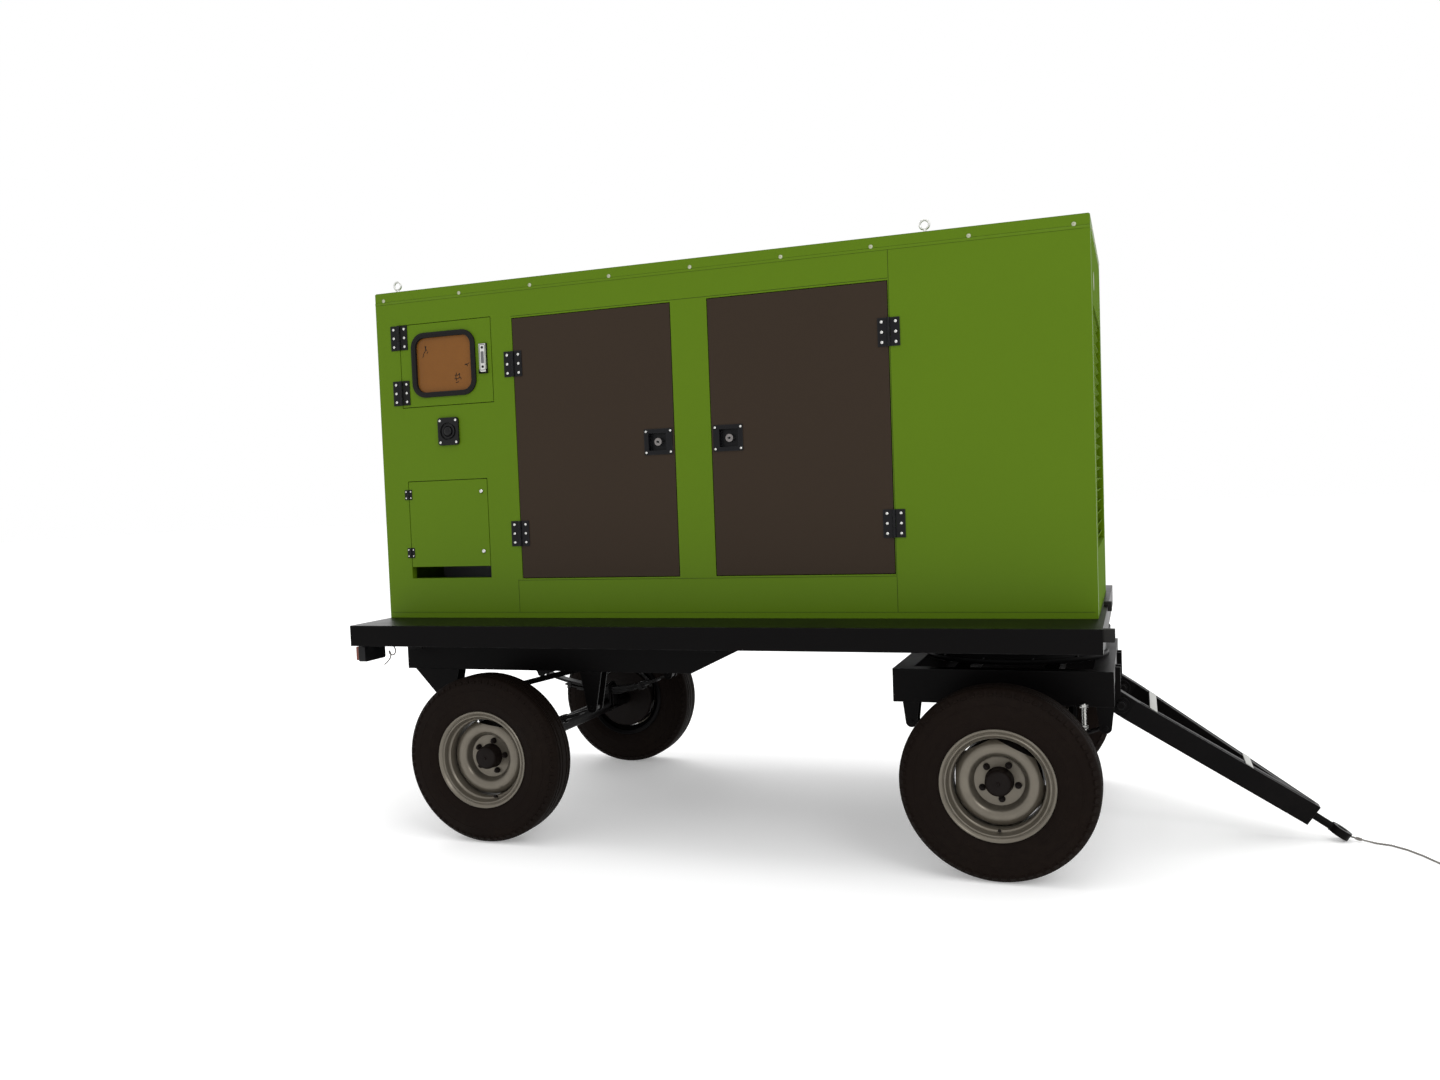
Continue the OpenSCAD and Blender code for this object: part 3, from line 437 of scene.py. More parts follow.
PANE_TAN = Finish("window_tan_pane", "window_tan", Surface.MOULDED, (0.165, 0.064, 0.012), 0.22,
                  coat=0.05, sheen=0.15, patch=0.16, patch_scale=5.0, grain_scale=25.0,
                  grain=0.03, dust=0.05)
SPRING_BLACK = Finish("spring_steel_black", "spring_steel", Surface.SPRAYED,
                      (0.006, 0.0055, 0.0055), 0.42, sheen=0.2, patch=0.3, patch_scale=9.0,
                      grain_scale=260.0, grain=0.25, dust=0.15, wear=0.2,
                      bare=(0.1, 0.1, 0.1), road=(0.05, 0.04, 0.035))
TYRE_BLACK = Finish("tyre_side_rubber", "tyre", Surface.RUBBER, (0.0052, 0.0028, 0.0019), 0.66,
                    sheen=0.06, patch=0.3, patch_scale=4.0, grain_scale=420.0, grain=0.25,
                    dust=0.25, dust_top=1.6, road=(0.028, 0.021, 0.015))
RIM_SILVER = Finish("rim_silver_paint", "rim_silver", Surface.SPRAYED, (0.14, 0.124, 0.098),
                    0.3, metal=0.6, coat=0.05, patch=0.2, patch_scale=8.0,
                    grain_scale=300.0, grain=0.12, dust=0.3, dust_top=1.4, wear=0.3,
                    bare=(0.3, 0.29, 0.27), road=(0.07, 0.055, 0.04))
STRAP_GREY = Finish("strap_light_grey", "rim_silver", Surface.SPRAYED, (0.42, 0.42, 0.4), 0.4,
                    patch=0.2, patch_scale=8.0, grain_scale=300.0, grain=0.2, dust=0.2)
ROPE_GREY = Finish("rope_grey_fibre", "plated_steel", Surface.FIBRE, (0.3, 0.28, 0.26), 0.8,
                   patch=0.25, patch_scale=20.0, grain_scale=1500.0, grain=0.5, dust=0.1)
FOAM_DARK = Finish("lining_dark_foam", "rubber", Surface.FOAM, (0.035, 0.035, 0.038), 0.9,
                   sheen=0.2, patch=0.15, grain=0.8, dust=0.1)
LENS_AMBER = Finish("lamp_amber_lens", "lamp_red", Surface.MOULDED, (0.15, 0.022, 0.006), 0.14,
                    coat=0.3, patch=0.08, grain_scale=60.0, grain=0.03, dust=0.15)
SEAM_DARK = Finish("seam_shadow_green", "canopy_green", Surface.SPRAYED, (0.012, 0.022, 0.002),
                   0.6, sheen=0.1, patch=0.3, patch_scale=6.0, grain_scale=200.0, grain=0.1,
                   dust=0.0)
SLOT_FINISH = {
    one.slot: one
    for one in (CHASSIS_BLACK, CANOPY_GREEN, DOOR_BROWN, HINGE_BLACK, SEAL_BLACK, PLASTIC_BLACK,
                LENS_RED, PLATED, ENGINE_GREY, CORE_DARK, MUFFLER, RUBBER, CABINET,
                PULLEY_IRON, PANE_TAN, SPRING_BLACK, TYRE_BLACK, RIM_SILVER)
}


class Shaper:
    """A mesh in the making, built from solid moves and handed over as one piece."""

    def __init__(self) -> None:
        """Starts empty."""
        self.bm = bmesh.new()

    def join(self, part: bmesh.types.BMesh, at: Matrix) -> "Shaper":
        """Adds a finished shape, turned and placed, and keeps its faces outward."""
        part.transform(at)
        if at.determinant() < 0:
            bmesh.ops.reverse_faces(part, faces=part.faces[:])
        mesh = bpy.data.meshes.new("part")
        part.to_mesh(mesh)
        part.free()
        self.bm.from_mesh(mesh)
        bpy.data.meshes.remove(mesh)
        return self

    @staticmethod
    def _soften(part: bmesh.types.BMesh, edges: list, edge: float, segments: int) -> None:
        """Rounds some edges."""
        bmesh.ops.bevel(part, geom=edges, offset=edge, offset_type="OFFSET", segments=segments,
                        profile=0.5, affect="EDGES", material=-1, clamp_overlap=True)

    def block(self, low: Point, high: Point, edge: float = 0.0, at: Matrix = Matrix(),
              segments: int = 2) -> "Shaper":
        """Adds a box between two corners, with rounded edges.

        Args:
            low: The lowest corner.
            high: The highest corner.
            edge: Radius of the edges.
            at: Where the box's own frame stands.
            segments: Facets across each rounded edge.

        Returns:
            The same Shaper.
        """
        low, high = Vector(low), Vector(high)
        part = bmesh.new()
        bmesh.ops.create_cube(part, size=1.0)
        bmesh.ops.scale(part, vec=high - low, verts=part.verts[:])
        bmesh.ops.translate(part, vec=(low + high) / 2, verts=part.verts[:])
        if edge:
            self._soften(part, part.edges[:], edge, segments)
        return self.join(part, at)

    def lathe(self, profile: Profile, sides: int = 48, at: Matrix = Matrix(),
              closed: bool = False) -> "Shaper":
        """Adds a turned shape.

        Args:
            profile: Radius and height of each point, from one end to the other.
            sides: Facets round the axis.
            at: Where the turning axis stands, along its Z.
            closed: Whether the profile joins up, as on a ring.

        Returns:
            The same Shaper.
        """
        part = self.spun(profile, sides, closed)
        bmesh.ops.recalc_face_normals(part, faces=part.faces[:])
        return self.join(part, at)

    @staticmethod
    def spun(profile: Profile, sides: int, closed: bool = False) -> bmesh.types.BMesh:
        """Returns a profile of radius and height turned a full circle round Z."""
        part = bmesh.new()
        verts = [part.verts.new((radius, 0.0, height)) for radius, height in profile]
        pairs = list(zip(verts, verts[1:])) + ([(verts[-1], verts[0])] if closed else [])
        edges = [part.edges.new(pair) for pair in pairs]
        bmesh.ops.spin(part, geom=verts + edges, cent=(0, 0, 0), axis=(0, 0, 1), dvec=(0, 0, 0),
                       angle=math.tau, steps=sides, use_merge=True)
        bmesh.ops.remove_doubles(part, verts=part.verts[:], dist=1e-6)
        return part

    def rod(self, radius: float, length: float, at: Matrix = Matrix(), sides: int = 24,
            edge: float = 0.0, from_z: float = 0.0) -> "Shaper":
        """Adds a round bar along its frame's Z with rounded ends."""
        edge = min(edge, radius * 0.45, length * 0.45)
        high = from_z + length
        profile = [(0.0, from_z), (radius - edge, from_z),
                   (radius - 0.3 * edge, from_z + 0.3 * edge), (radius, from_z + edge),
                   (radius, high - edge), (radius - 0.3 * edge, high - 0.3 * edge),
                   (radius - edge, high), (0.0, high)]
        if not edge:
            profile = [(0.0, from_z), (radius, from_z), (radius, high), (0.0, high)]
        return self.lathe(profile, sides, at)

    def plate(self, width: float, height: float, depth: float, corner: float = 0.0,
              edge: float = 0.0, at: Matrix = Matrix()) -> "Shaper":
        """Adds a flat plate centred on its frame, standing up from it along Z.

        Args:
            width: Size along X.
            height: Size along Y.
            depth: Thickness along Z.
            corner: Radius of its four corners.
            edge: Radius of its front edge.
            at: Where the plate stands.

        Returns:
            The same Shaper.
        """
        part = self._rounded_face(width, height, corner)
        out = bmesh.ops.extrude_face_region(part, geom=part.faces[:])
        top = [item for item in out["geom"] if isinstance(item, bmesh.types.BMVert)]
        bmesh.ops.translate(part, vec=(0, 0, depth), verts=top)
        bmesh.ops.recalc_face_normals(part, faces=part.faces[:])
        if edge:
            front = [e for e in part.edges if all(abs(v.co.z - depth) < 1e-7 for v in e.verts)]
            self._soften(part, front, edge, 3)
        return self.join(part, at)

    @staticmethod
    def _rounded_face(width: float, height: float, corner: float) -> bmesh.types.BMesh:
        """Returns one flat face with round corners."""
        part = bmesh.new()
        bmesh.ops.create_grid(part, x_segments=1, y_segments=1, size=0.5)
        bmesh.ops.scale(part, vec=(width, height, 1.0), verts=part.verts[:])
        if corner:
            bmesh.ops.bevel(part, geom=part.verts[:], offset=corner, offset_type="OFFSET",
                            segments=8, profile=0.5, affect="VERTICES", material=-1,
                            clamp_overlap=True)
        return part

    def lip(self, width: float, height: float, corner: float, steps: Profile, thick: float,
            at: Matrix = Matrix()) -> "Shaper":
        """Adds a moulded frame round an opening.

        Args:
            width: Outside size along X.
            height: Outside size along Y.
            corner: Radius of the outside corners.
            steps: How far in, and how far up or down, each line of the moulding goes.
            thick: Thickness of the moulded wall.
            at: Where the frame stands.

        Returns:
            The same Shaper.
        """
        part = self._rounded_face(width, height, corner)
        bmesh.ops.recalc_face_normals(part, faces=part.faces[:])
        for face in part.faces:
            if face.normal.z < 0:
                face.normal_flip()
        middle = max(part.faces, key=lambda face: face.calc_area())
        for inward, rise in steps:
            bmesh.ops.inset_individual(part, faces=[middle], thickness=inward, depth=rise,
                                       use_even_offset=True)
        bmesh.ops.delete(part, geom=[middle], context="FACES_ONLY")
        bmesh.ops.solidify(part, geom=part.faces[:], thickness=thick)
        bmesh.ops.recalc_face_normals(part, faces=part.faces[:])
        return self.join(part, at)

    def strip(self, points: Sequence[Point], width: float, thick: float, edge: float = 0.0,
              at: Matrix = Matrix()) -> "Shaper":
        """Adds a bent flat bar: a line of points in XZ, widened along Y and given a thickness."""
        part = bmesh.new()
        verts = [part.verts.new((x, -width / 2, z)) for x, z in points]
        edges = [part.edges.new(pair) for pair in zip(verts, verts[1:])]
        out = bmesh.ops.extrude_edge_only(part, edges=edges)
        moved = [item for item in out["geom"] if isinstance(item, bmesh.types.BMVert)]
        bmesh.ops.translate(part, vec=(0, width, 0), verts=moved)
        bmesh.ops.recalc_face_normals(part, faces=part.faces[:])
        bmesh.ops.solidify(part, geom=part.faces[:], thickness=thick)
        bmesh.ops.recalc_face_normals(part, faces=part.faces[:])
        if edge:
            sharp = [e for e in part.edges if e.calc_face_angle(0.0) > 0.8]
            self._soften(part, sharp, edge, 1)
        return self.join(part, at)

    def tube(self, points: Sequence[Point], radius: float, at: Matrix = Matrix(),
             ring: int = 2, loop: bool = False) -> "Shaper":
        """Adds a round run that follows points, such as a wire, strand or bolt."""
        line = bpy.data.curves.new("run", "CURVE")
        line.dimensions = "3D"
        line.bevel_depth = radius
        line.bevel_resolution = ring
        line.use_fill_caps = not loop
        spline = line.splines.new("POLY")
        spline.points.add(len(points) - 1)
        for knot, point in zip(spline.points, points):
            knot.co = (*point, 1.0)
        spline.use_cyclic_u = loop
        holder = bpy.data.objects.new("run", line)
        bpy.context.scene.collection.objects.link(holder)
        bpy.context.view_layer.update()
        seen = holder.evaluated_get(bpy.context.evaluated_depsgraph_get())
        mesh = bpy.data.meshes.new_from_object(seen)
        part = bmesh.new()
        part.from_mesh(mesh)
        bmesh.ops.remove_doubles(part, verts=part.verts[:], dist=1e-7)
        bmesh.ops.recalc_face_normals(part, faces=part.faces[:])
        bpy.data.objects.remove(holder)
        bpy.data.curves.remove(line)
        bpy.data.meshes.remove(mesh)
        return self.join(part, at)

    def screw(self, radius: float, at: Matrix, rise: float = 0.0) -> "Shaper":
        """Adds a pan-head screw with a socket, standing on its frame."""
        high = rise or 0.55 * radius
        profile = [(0.0, 0.55 * high), (0.42 * radius, 0.55 * high), (0.48 * radius, high),
                   (0.72 * radius, 0.93 * high), (radius, 0.45 * high), (radius, 0.0), (0.0, 0.0)]
        return self.lathe(profile, 12, at)

    def hexagon(self, across: float, height: float, at: Matrix = Matrix()) -> "Shaper":
        """Adds a nut with chamfered corners, standing on its frame."""
        radius = across / math.sqrt(3)
        profile = [(0.0, 0.0), (radius, 0.0), (radius, 0.8 * height), (0.86 * radius, height),
                   (0.0, height)]
        return self.lathe(profile, 6, at)

    def piece(self, name: str, finish: Finish, body: str = "chassis",
              replaces: Iterable[str] = (), sharp: float = 0.62) -> bpy.types.Object:
        """Hands the mesh over as a named piece.

        Args:
            name: The piece's name.
            finish: What it is finished in.
            body: The body it rides on, or an empty string for none.
            replaces: CAD nodes it stands for.
            sharp: Angle between faces past which an edge stays crisp.

        Returns:
            The new object.
        """
        for face in self.bm.faces:
            face.smooth = True
        for line in self.bm.edges:
            line.smooth = line.calc_face_angle(0.0) < sharp
        mesh = bpy.data.meshes.new(name)
        self.bm.to_mesh(mesh)
        self.bm.free()
        mesh.materials.append(finish.material())
        made = bpy.data.objects.new(name, mesh)
        bpy.context.scene.collection.objects.link(made)
        if body:
            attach(made, body)
        if replaces:
            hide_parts(*replaces)
        LOG.info("%s: %d faces", name, len(mesh.polygons))
        return made


def facing(normal: Point) -> Matrix:
    """Returns a turn that takes Z to a direction."""
    return Vector(normal).normalized().to_track_quat("Z", "Y").to_matrix().to_4x4()


def spot(point: Point, normal: Point = (0, 0, 1)) -> Matrix:
    """Returns a frame at a point whose Z runs along a direction."""
    return Matrix.Translation(Vector(point)) @ facing(normal)


def smooth(points: Sequence[Vector], steps: int) -> list[Vector]:
    """Returns a curve that passes through every point.

    Args:
        points: The points to pass through.
        steps: Points made from each one to the next.
    """
    ends = [points[0], *points, points[-1]]
    made = []
    for a, b, c, d in zip(ends, ends[1:], ends[2:], ends[3:]):
        for t in (i / steps for i in range(steps)):
            made.append(0.5 * (2 * b + (c - a) * t + (2 * a - 5 * b + 4 * c - d) * t * t
                               + (3 * b - a - 3 * c + d) * t ** 3))
    return [*made, points[-1]]


@dataclass
class Studio:
    """Floor, lights and camera."""

    eye: tuple[float, float, float] = (1.335, -5.703, 1.565)
    yaw: float = 0.383
    pitch: float = -0.049
    roll: float = -0.04
    lens: float = 30.56
    shift: tuple[float, float] = (0.0506, 0.0074)

    def camera(self) -> None:
        """Sets the camera at the viewing angle."""
        data = bpy.data.cameras.new("camera")
        data.sensor_width = 36.0
        data.lens = self.lens
        data.shift_x, data.shift_y = self.shift
        data.clip_end = 200.0
        ahead = Vector((-math.sin(self.yaw) * math.cos(self.pitch),
                        math.cos(self.yaw) * math.cos(self.pitch), math.sin(self.pitch)))
        right = ahead.cross(Vector((0, 0, 1))).normalized()
        up = right.cross(ahead)
        turned = right * math.cos(self.roll) + up * math.sin(self.roll)
        above = up * math.cos(self.roll) - right * math.sin(self.roll)
        basis = Matrix((turned, above, -ahead)).transposed().to_4x4()
        camera = bpy.data.objects.new("camera", data)
        camera.matrix_world = Matrix.Translation(self.eye) @ basis
        bpy.context.scene.collection.objects.link(camera)
        bpy.context.scene.camera = camera

    def floor(self) -> None:
        """Lays a plain pale floor."""
        shape = bmesh.new()
        bmesh.ops.create_grid(shape, x_segments=1, y_segments=1, size=60.0)
        mesh = bpy.data.meshes.new("floor")
        shape.to_mesh(mesh)
        shape.free()
        paint = bpy.data.materials.new("floor_white")
        paint.use_nodes = True
        shader = paint.node_tree.nodes["Principled BSDF"]
        shader.inputs["Base Color"].default_value = (0.86, 0.86, 0.86, 1.0)
        shader.inputs["Roughness"].default_value = 0.9
        shader.inputs["Emission Color"].default_value = (1.0, 1.0, 1.0, 1.0)
        shader.inputs["Emission Strength"].default_value = 0.25
        mesh.materials.append(paint)
        floor = bpy.data.objects.new("floor", mesh)
        bpy.context.scene.collection.objects.link(floor)

    def lamp(self, name: str, at: Point, aim: Point, size: float, power: float) -> None:
        """Hangs one soft square lamp."""
        data = bpy.data.lights.new(name, "AREA")
        data.shape = "SQUARE"
        data.size = size
        data.energy = power
        lamp = bpy.data.objects.new(name, data)
        lamp.location = at
        lamp.rotation_mode = "QUATERNION"
        lamp.rotation_quaternion = (Vector(aim) - Vector(at)).to_track_quat("-Z", "Y")
        bpy.context.scene.collection.objects.link(lamp)

    def build(self) -> None:
        """Lights the set softly."""
        scene = bpy.context.scene
        scene.view_settings.view_transform = "Standard"
        world = bpy.data.worlds.new("studio")
        scene.world = world
        world.use_nodes = True
        sky = world.node_tree.nodes["Background"]
        sky.inputs[0].default_value = (1.0, 1.0, 1.0, 1.0)
        sky.inputs[1].default_value = 1.0
        self.floor()
        self.lamp("front_lamp", (6.5, -8.0, 7.5), (0.9, -0.6, 2.2), 4.0, 230.0)
        self.lamp("top_lamp", (0.0, 0.5, 8.5), (0.0, 0.0, 1.0), 6.0, 200.0)
        self.lamp("rear_lamp", (-7.0, 7.0, 6.0), (0.0, 0.5, 1.4), 5.0, 200.0)


@dataclass
class TowRope:
    """A short three-strand rope tied to the tow eye and lying on the ground."""

    radius: float = 0.004
    lay_length: float = 0.034
    strand: float = 0.54
    knots: tuple[tuple[float, float, float], ...] = (
        (4.205, 0.0, 0.024), (4.222, -0.002, 0.02), (4.245, -0.008, 0.014),
        (4.275, -0.016, 0.009), (4.31, -0.026, 0.0042), (4.361, -0.044, 0.0042),
        (4.41, -0.096, 0.0042), (4.45, -0.166, 0.0042), (4.482, -0.24, 0.0042),
        (4.52, -0.33, 0.0042), (4.568, -0.42, 0.0042), (4.63, -0.5, 0.0042),
        (4.7, -0.56, 0.0042))

    def route(self, step: float = 0.0015) -> list[Vector]:
        """Returns the rope's own line, in even steps through its knots."""
        ends = [along(*knot) for knot in self.knots]
        line = [ends[0]]
        for first, second in zip(ends, ends[1:]):
            count = max(1, round((second - first).length / step))
            line += [first.lerp(second, (i + 1) / count) for i in range(count)]
        return line

    def build(self) -> None:
        """Lays three strands round the line and ties both ends."""
        line = self.route()
        shaper = Shaper()
        offset = self.radius * self.strand
        travel = [0.0]
        for first, second in zip(line, line[1:]):
            travel.append(travel[-1] + (second - first).length)
        for strand in range(3):
            points = []
            for i, point in enumerate(line):
                heading = (line[min(i + 3, len(line) - 1)] - line[max(i - 3, 0)]).normalized()
                across = Vector((0, 0, 1)).cross(heading).normalized()
                angle = math.tau * (travel[i] / self.lay_length + strand / 3)
                points.append(point + offset * (math.cos(angle) * across
                                                + math.sin(angle) * heading.cross(across)))
            shaper.tube(points[::2], self.radius - offset, ring=1)
        rope = shaper.piece("tow_rope_strands", ROPE_GREY, "drawbar", ["tow_rope"], sharp=1.2)
        whip = Shaper()
        for i in range(5):
            self._turn(whip, line[26 + 3 * i], line[29 + 3 * i] - line[23 + 3 * i], 0.0052, 0.0021)
        whipping = whip.piece("tow_rope_whipping", ROPE_GREY, "drawbar", sharp=1.2)
        knot = Shaper()
        end = line[-10] + Vector((0, 0, 0.0046))
        for turn in ((1, 0, 0.2), (0.3, 1, 0), (0, 0.4, 1)):
            self._turn(knot, end, Vector(turn), 0.005, 0.0034)
        tied = knot.piece("tow_rope_end_knot", ROPE_GREY, "drawbar", sharp=1.2)

    @staticmethod
    def _turn(shaper: Shaper, centre: Vector, axis: Vector, radius: float, wire: float) -> None:
        """Adds one closed turn of rope round a point."""
        turn = facing(axis)
        ring = [centre + turn @ Vector((radius * math.cos(a), radius * math.sin(a), 0.0))
                for a in angles(20)]
        shaper.tube(ring, wire, ring=2, loop=True)


@dataclass
class Wheel:
    """One road wheel: ribbed tyre, pressed rim with a flat-sided disc, hub, nuts and valve."""

    name: str
    x: float
    side: Side
    track: float = 1.678
    axle_z: float = 0.38
    lugs: int = 66
    nuts: int = 5
    nut_circle: float = 0.0715
    turn: float = 0.0
    flats: tuple[tuple[float, float], ...] = ((64.0, 0.15), (117.0, 0.1625), (18.0, 0.1625),
                                              (-112.0, 0.164), (180.0, 0.164), (-45.0, 0.166))

    def frame(self) -> Matrix:
        """Returns the wheel's frame: Z outward, X forward on both sides."""
        base = Matrix.Translation(along(self.x, self.side.value * self.track / 2, self.axle_z))
        if self.side is Side.LEFT:
            base = base @ Matrix.Scale(-1.0, 4, (0, 1, 0))
        return base @ Matrix.Rotation(math.pi / 2, 4, "X") @ Matrix.Rotation(self.turn, 4, "Z")

    def build(self) -> None:
        """Builds every piece of the wheel on its own body."""
        body = "wheel_" + self.name
        at = self.frame()
        self._tyre(at).piece(f"tyre_{self.name}_tread", TYRE_BLACK, body, [f"tyre_{self.name}"],
                             sharp=0.5)
        rim = self._barrel(at)
        self._disc(rim, at)
        rim.piece(f"rim_{self.name}_pressed", RIM_SILVER, body, [f"rim_{self.name}"], sharp=0.6)
        # The rim's inner half takes the black chassis paint as painted shade: it stands for the
        # shade on the wheel's inner side under the trailer.
        self._inner_barrel(at).piece(f"rim_{self.name}_inner", CHASSIS_BLACK, body, sharp=0.6)
        self._hub(at).piece(f"hub_{self.name}", PULLEY_IRON, body)

    def _tyre(self, at: Matrix) -> Shaper:
        """Returns the tyre with its ribs, side rings and shoulder lugs."""
        outer = [(0.2032, 0.05), (0.2032, 0.062), (0.2195, 0.076), (0.2235, 0.0815),
                 (0.2275, 0.0815), (0.23, 0.0835), (0.25, 0.0905), (0.262, 0.0928),
                 (0.263, 0.0938), (0.266, 0.0938), (0.267, 0.0932), (0.295, 0.095),
                 (0.313, 0.0938), (0.314, 0.0946), (0.317, 0.0944), (0.318, 0.0932),
                 (0.33, 0.0915), (0.342, 0.0885), (0.352, 0.0852), (0.361, 0.0808),
                 (0.3672, 0.0768), (0.372, 0.0725), (0.3762, 0.066), (0.378, 0.06),
                 (0.379, 0.05), (0.372, 0.048), (0.372, 0.043), (0.3795, 0.041),
                 (0.3797, 0.025), (0.372, 0.023), (0.372, 0.018), (0.3798, 0.016)]
        inner_painted_shade = [(0.36, 0.0), (0.36, 0.046), (0.34, 0.075), (0.295, 0.083),
                 (0.241, 0.075), (0.206, 0.046)]
        mirrored = [(radius, -height) for radius, height in reversed(outer)]
        profile = outer + mirrored + [(r, -h) for r, h in reversed(inner_painted_shade)] + inner_painted_shade[1:]
        shaper = Shaper().lathe(profile, 120, at, closed=True)
        for i in range(self.lugs):
            turn = Matrix.Rotation(math.tau * i / self.lugs, 4, "Z")
            for sign in (1, -1):
                lug = move(0.36, 0.0, sign * 0.0738) @ Matrix.Rotation(
                    sign * 0.86, 4, "Y")
                shaper.block((-0.0165, -0.0105, -0.0065), (0.012, 0.0105, 0.0082), 0.0018,
                             at @ turn @ lug, segments=1)
        return shaper

    @staticmethod
    def _barrel(at: Matrix) -> Shaper:
        """Returns the rim's barrel with its double flange ring on the outer side."""
        face = [(0.215, 0.0715), (0.2192, 0.0745), (0.221, 0.079), (0.2205, 0.083),
                (0.218, 0.0852), (0.2145, 0.0845), (0.211, 0.081), (0.207, 0.0772),
                (0.2045, 0.074), (0.2035, 0.0738), (0.2015, 0.0762), (0.1985, 0.0775),
                (0.195, 0.076), (0.192, 0.0705), (0.1895, 0.06), (0.187, 0.052),
                (0.1835, 0.048), (0.1795, 0.045), (0.1765, 0.036), (0.1745, 0.016)]
        back = [(0.1745, -0.02), (0.179, -0.02), (0.179, 0.018), (0.202, 0.042),
                (0.2025, 0.064)]
        return Shaper().lathe(face + back, 96, at, closed=True)

    @staticmethod
    def _inner_barrel(at: Matrix) -> Shaper:
        """Returns the rim's inner half and its flange, in black as painted shade for the wheel's
        shaded inner side.
        """
        return Shaper().lathe(
            [(0.1745, -0.0204), (0.1745, -0.038), (0.195, -0.054), (0.199, -0.078),
             (0.215, -0.084), (0.2195, -0.082), (0.219, -0.076), (0.2025, -0.07),
             (0.202, -0.05), (0.179, -0.036), (0.179, -0.0204)], 96, at, closed=True)

    def _disc(self, shaper: Shaper, at: Matrix) -> None:
        """Adds the dished disc, cut flat on its sides so that gaps show beside the barrel."""
        profile = [(0.045, -0.015), (0.09, -0.015), (0.0965, -0.0125), (0.101, -0.005),
                   (0.105, 0.009), (0.1115, 0.0205), (0.1215, 0.0275), (0.134, 0.03),
                   (0.146, 0.029), (0.156, 0.024), (0.165, 0.016), (0.171, 0.007),
                   (0.1742, -0.004), (0.1745, -0.015)]
        part = Shaper.spun(profile, 100)
        for degrees, reach in self.flats:
            angle = math.radians(degrees)
            out = Vector((math.cos(angle), math.sin(angle), 0.0))
            bmesh.ops.bisect_plane(part, geom=part.verts[:] + part.edges[:] + part.faces[:],
                                   plane_co=out * reach, plane_no=out, clear_outer=True)
        bmesh.ops.recalc_face_normals(part, faces=part.faces[:])
        bmesh.ops.solidify(part, geom=part.faces[:], thickness=0.0055)
        bmesh.ops.recalc_face_normals(part, faces=part.faces[:])
        shaper.join(part, at)

    def _hub(self, at: Matrix) -> Shaper:
        """Returns the dark hub, brake drum, wheel nuts and valve."""
        shaper = Shaper().lathe(
            [(0.0, 0.0545), (0.006, 0.0545), (0.008, 0.05), (0.034, 0.05), (0.044, 0.047),
             (0.05, 0.04), (0.0525, 0.03), (0.0535, -0.01), (0.056, -0.014),
             (0.056, -0.024), (0.15, -0.026), (0.164, -0.036), (0.166, -0.086),
             (0.162, -0.092), (0.16, -0.094),
             (0.026, -0.094), (0.0255, 0.0), (0.0, 0.0)], 64, at)
        for i in range(self.nuts):
            angle = math.radians(-84.0 + 360.0 / self.nuts * i)
            place = at @ Matrix.Translation((self.nut_circle * math.cos(angle),
                                             self.nut_circle * math.sin(angle), -0.0152))
            shaper.rod(0.0135, 0.003, place, 20).hexagon(0.021, 0.016, place)
            shaper.rod(0.0062, 0.024, place, 16, 0.001)
        valve = at @ spot((0.004, -0.18, 0.05), (0.0, 0.25, 1.0))
        shaper.rod(0.005, 0.02, valve, 16, 0.001)
        shaper.rod(0.0064, 0.01, valve, 12, 0.001, from_z=0.014)
        return shaper


